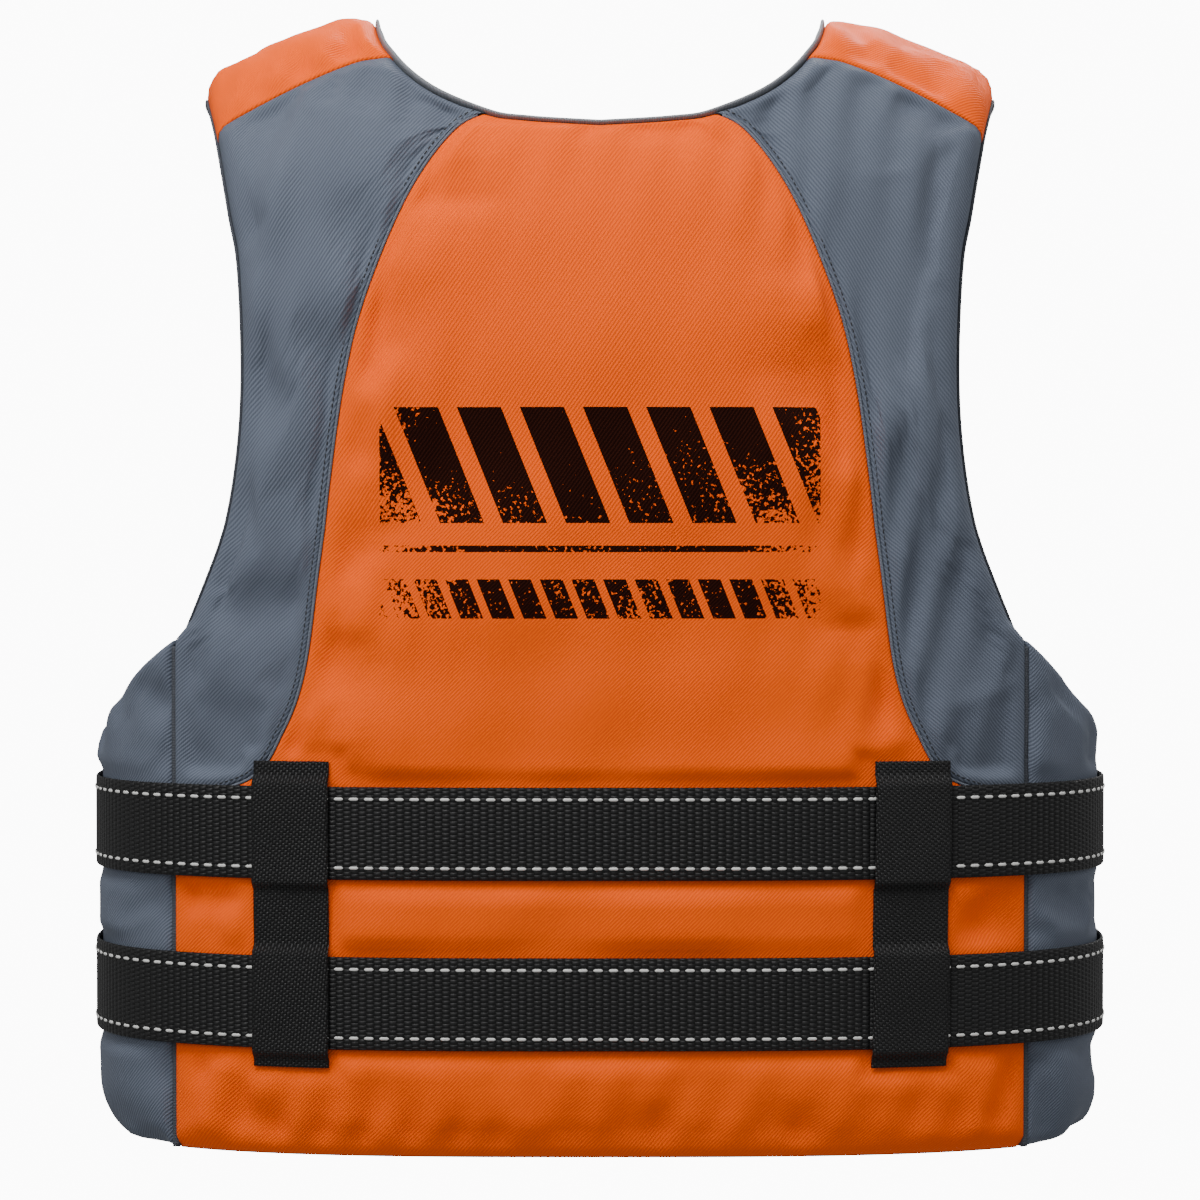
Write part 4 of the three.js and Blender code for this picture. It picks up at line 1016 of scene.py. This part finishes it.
def webbing(name, path, low, high, body, nodes, material, step=0.82 * mm, rows=14, ribs=True):
    """A strip of webbing on edge along a path in plan: ribs bulge sideways between its faces."""
    dense = by_length(np.asarray(path))
    total = np.linalg.norm(np.diff(dense(np.linspace(0, 1, 4000)), axis=0), axis=1).sum()
    count = int(total / step)
    flat = dense(np.linspace(0, 1, count))
    run = np.gradient(flat, axis=0)
    run = run / np.linalg.norm(run, axis=-1, keepdims=True)
    out = np.stack([run[:, 1], -run[:, 0]], axis=-1)
    along = np.linspace(0, total, count)
    rise = low + (high - low) * (0.5 - 0.5 * np.cos(np.linspace(0, math.pi, rows)))
    bulge = 0.28 * mm * np.abs(np.sin(math.pi * along / rib_pitch)) if ribs else 0 * along
    round_off = np.sqrt(np.maximum(1 - np.abs(np.linspace(-1, 1, rows)) ** 8, 0.12))
    faces = []
    for sign in (1, -1):
        offset = sign * (belt_thick / 2 - 0.25 * mm + bulge)[None, :] * round_off[:, None]
        x = flat[None, :, 0] + out[None, :, 0] * offset
        y = flat[None, :, 1] + out[None, :, 1] * offset
        faces.append(np.stack([x, y, rise[:, None] + 0 * x], axis=-1))
    uv = np.stack([along[None, :] + 0 * rise[:, None], rise[:, None] + 0 * along[None, :]], axis=-1)
    piece = two_sided(name, faces[0], faces[1], uv)
    piece.data.materials.append(material)
    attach(piece, body)
    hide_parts(*nodes)
    return piece, dense, total


def dash_rows(name, dense, total, low, high, body, start, end):
    """Two rows of reflective dashes on the outer face of a belt."""
    at = np.arange(start, end, 8.2 * mm)
    flat = dense(at / total)
    ahead = dense((at + 0.5 * mm) / total) - flat
    run = ahead / np.linalg.norm(ahead, axis=-1, keepdims=True)
    middles, runs, outs = [], [], []
    for z in (low + 6.5 * mm, high - 6.5 * mm):
        out = np.stack([run[:, 1], -run[:, 0], 0 * at], axis=-1)
        on_belt = np.stack([flat[:, 0], flat[:, 1], 0 * at + z], axis=-1)
        middles.append(on_belt + out * (belt_thick / 2 + 0.25 * mm))
        runs.append(np.stack([run[:, 0], run[:, 1], 0 * at], axis=-1))
        outs.append(out)
    return stitches(name, np.vstack(middles), np.vstack(runs), np.vstack(outs), 5.0 * mm, 1.7 * mm, 0.8 * mm,
                    reflective, body)


belt_middle = 2.2 * mm
for which in ("upper", "lower"):
    low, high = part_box(f"{which}_belt")[0][2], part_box(f"{which}_belt")[1][2]
    female_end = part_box(f"{which}_buckle_female")[1][0]
    male_low, male_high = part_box(f"{which}_buckle_male")
    buckle_y = (male_low[1] + male_high[1]) / 2
    join_x = female_end + 30 * mm
    belt_end = 143.15 * mm
    turn = np.linspace(math.pi - plan_angle(join_x), -(math.pi - plan_angle(belt_end)), 900)
    round_path = np.stack(plan(turn, belt_middle), axis=-1)
    # The fixed end turns round the socket's end bar and down into its slot.
    socket_low, socket_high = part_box(f"{which}_buckle_female")
    bar_front = socket_low[1] - 1.35 * mm
    slot_x = female_end - 6.1 * mm
    bend = np.linspace(math.pi, 1.5 * math.pi, 7)
    round_bar = np.stack([slot_x + 2.2 * mm * (1 + np.cos(bend)),
                          bar_front + 2.2 * mm * (1 + np.sin(bend))], axis=-1)
    buckle_run = np.vstack([[slot_x, socket_high[1] - 3 * mm], [slot_x, bar_front + 5 * mm], round_bar,
                            [female_end - 1 * mm, bar_front], [female_end + 1 * mm, bar_front],
                            [female_end + 12 * mm, buckle_y + 2 * mm]])
    piece, dense, total = webbing(f"{which}_belt_webbing", np.vstack([buckle_run, round_path]), low, high,
                                  "vest", [f"{which}_belt"], belt_webbing)
    dash_rows(f"{which}_belt_dashes", dense, total, low, high, "vest", 22 * mm, total - 4 * mm)
    fixed = -143.1 * mm
    first = np.array(plan(math.pi + plan_angle(-fixed), belt_middle))
    joint = np.array(plan(math.pi + plan_angle(93.5 * mm), belt_middle))
    male_start = male_low[0]
    lead_path = [[fixed, first[1]], [fixed + 25 * mm, (first[1] + joint[1]) / 2], joint,
                 [male_start - 14 * mm, buckle_y + 2 * mm], [male_start - 0.4 * mm, buckle_y]]
    piece, dense, total = webbing(f"{which}_lead_webbing", lead_path[::-1], low, high, "vest",
                                  [f"{which}_belt_lead"], belt_webbing)
    outer_y = male_low[1] - 1.4 * mm
    tail_path = [[male_start + 14 * mm, outer_y], [male_start - 2 * mm, outer_y],
                 [male_start - 20 * mm, outer_y + 3 * mm],
                 [male_start - 54 * mm, outer_y + 6 * mm]]
    webbing(f"{which}_tail_webbing", tail_path, low, high, f"{which}_male_half",
            [f"{which}_belt_tail"], belt_webbing)
    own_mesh(piece)

# ------------------------------------------------------------------ keepers
# Two upright strips of 40 mm webbing on the back and two on the front hold both belts: each is
# sewn to the shell at its ends and between the belts, and bows out over each belt.


def keeper_rise(z):
    """How far a keeper stands off the shell: out over each belt, down to the cloth elsewhere."""
    rise = np.zeros_like(z)
    for low, high in belt_boxes:
        away = np.abs(z - (low[2] + high[2]) / 2) - (high[2] - low[2]) / 2 - 1 * mm
        ramp = np.clip(1 - away / (6 * mm), 0, 1)
        rise = np.maximum(rise, ramp * ramp * (3 - 2 * ramp))
    return 0.5 * mm + rise * 3.3 * mm


for face in ("back", "front"):
    for side, hand in hands:
        low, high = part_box(f"{face}_keeper_left")
        inner_x, bottom, top = 145.5 * mm, low[2], high[2]
        u = np.linspace(0, 1, 24)
        z = np.linspace(bottom, top, 130)
        lean = 2.2 * mm * (z - bottom) / (top - bottom) * (0 if side > 0 else -1)
        x = side * (inner_x + 41 * mm * u[None, :]) + lean[:, None]
        h = z[:, None] + 0 * x
        h = h if face == "back" else 2 * ridge - h
        rise = keeper_rise(z)[:, None] + 0.35 * mm * waves(x, h, 50 * mm, 81)
        round_off = 0.3 + 0.7 * np.sqrt(np.maximum(1 - np.abs(2 * u - 1) ** 10, 0))[None, :]
        middle, half_thick = rise + 0.9 * mm, 0.8 * mm * round_off
        piece = two_sided(f"{face}_keeper_webbing_{hand}", on_torso(x, h, middle + half_thick),
                          on_torso(x, h, middle - half_thick),
                          np.stack([side * x, z[:, None] + 0 * x], axis=-1))
        piece.data.materials.append(keeper_webbing)
        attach(piece, "vest")
        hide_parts(f"{face}_keeper_{hand}")

# ------------------------------------------------------------------ zip
# A moulded-tooth zip lies in the valley between the two front slabs: woven tapes, a row of
# teeth on each that mesh at the middle, and cast end pieces, slider and pull.
tape_cloth = tape_material("zip_tape_woven", "#232427", "#121315", 1.2 * mm)
for side, hand in hands:
    low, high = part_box(f"zip_tape_{hand}")
    xs = np.sort(side * np.linspace(0.3 * mm, 25 * mm, 12))
    zs = np.linspace(low[2], high[2], 200)
    x = xs[None, :] + 0 * zs[:, None]
    z = zs[:, None] + 0 * x
    wave = 0.25 * mm * np.sin(z / (9 * mm)) * np.sin(x / (4 * mm))
    middle = (low[1] + high[1]) / 2 + wave
    half = (high[1] - low[1]) / 2
    piece = two_sided(f"zip_tape_cloth_{hand}", np.stack([x, middle - half, z], -1),
                      np.stack([x, middle + half, z], -1), np.stack([z, x], -1))
    piece.data.materials.append(tape_cloth)
    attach(piece, "vest")
    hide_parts(f"zip_tape_{hand}")

tooth_plastic, tree, shader = new_material("acetal_teeth_moulded")
shader.inputs["Base Color"].default_value = linear("#1E1F22")
shader.inputs["Roughness"].default_value = 0.35
tooth_pitch = 3.0 * mm
for side, hand in hands:
    low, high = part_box(f"zip_teeth_{hand}")
    middle_y = (low[1] + high[1]) / 2
    at = np.arange(low[2] + 1 * mm, high[2] - 1 * mm, tooth_pitch) + (tooth_pitch / 2 if side > 0 else 0)
    at = at[at < high[2] - 1 * mm]
    outline = np.array([(3.2, -0.9), (1.6, -0.9), (0.9, -0.65), (0.1, -0.8), (-0.5, -0.45),
                        (-0.5, 0.45), (0.1, 0.8), (0.9, 0.65), (1.6, 0.9), (3.2, 0.9)]) * mm
    rings = []
    for y, grow in [(-2.0, 0.8), (-1.6, 1.0), (1.6, 1.0), (2.0, 0.8)]:
        ring = outline * [1, grow]
        wide = side * ring[:, 0][None, :] + 0 * at[:, None]
        tall = at[:, None] + ring[:, 1][None, :]
        rings.append(np.stack([wide, middle_y + y * mm + 0 * wide, tall], axis=-1))
    points = np.stack(rings, axis=1)
    n = len(outline)
    one = np.arange(4 * n).reshape(4, n)
    after = np.roll(one, -1, axis=1)
    faces = np.stack([one[:-1], after[:-1], after[1:], one[1:]], axis=-1).reshape(-1, 4)
    shift = (np.arange(len(at)) * 4 * n)[:, None, None]
    whole = (faces[None] + shift).reshape(-1, 4).tolist()
    whole += (np.stack([one[0][::-1], one[-1]])[None] + shift).reshape(-1, n).tolist()
    mesh = bpy.data.meshes.new(f"zip_tooth_row_{hand}")
    mesh.from_pydata(points.reshape(-1, 3).tolist(), [], whole)
    piece = bpy.data.objects.new(f"zip_tooth_row_{hand}", mesh)
    scene.collection.objects.link(piece)
    tidy_normals(piece, 0.0001 * mm)
    piece.data.materials.append(tooth_plastic)
    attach(piece, "vest")
    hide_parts(f"zip_teeth_{hand}")

zinc, tree, shader = new_material("zinc_casting_plated_dark")
place = add(tree, "TexCoord", out=3)
speck = add(tree, "TexNoise", named={"Vector": place, "Scale": 900.0, "Detail": 3.0})
rough = add(tree, "MapRange", speck, 0.3, 0.7, 0.25, 0.45)
tree.links.new(rough, shader.inputs["Roughness"])
shader.inputs["Base Color"].default_value = linear("#8B8D92")
shader.inputs["Metallic"].default_value = 1.0
for node in ("zip_slider", "zip_pull", "zip_box", "zip_stop_left", "zip_stop_right"):
    node_object = bpy.data.objects[node]
    node_object.data.materials.clear()
    node_object.data.materials.append(zinc)

# ------------------------------------------------------------------ buckles
# Side-release buckles moulded in black acetal with a fine spark-eroded grain.
acetal, tree, shader = new_material("acetal_moulded_grained")
place = add(tree, "TexCoord", out=3)
grain = add(tree, "TexNoise", named={"Vector": place, "Scale": 1400.0, "Detail": 2.0})
relief = add(tree, "Bump", named={"Strength": 0.25, "Distance": 0.1 * mm, "Height": grain})
tree.links.new(relief, shader.inputs["Normal"])
tree.links.new(add(tree, "MapRange", grain, 0.3, 0.7, 0.38, 0.52), shader.inputs["Roughness"])
shader.inputs["Base Color"].default_value = linear("#161617")
for which in ("upper", "lower"):
    for part in ("buckle_female", "buckle_male", "prong_top", "prong_bottom"):
        node_object = bpy.data.objects[f"{which}_{part}"]
        node_object.data.materials.clear()
        node_object.data.materials.append(acetal)
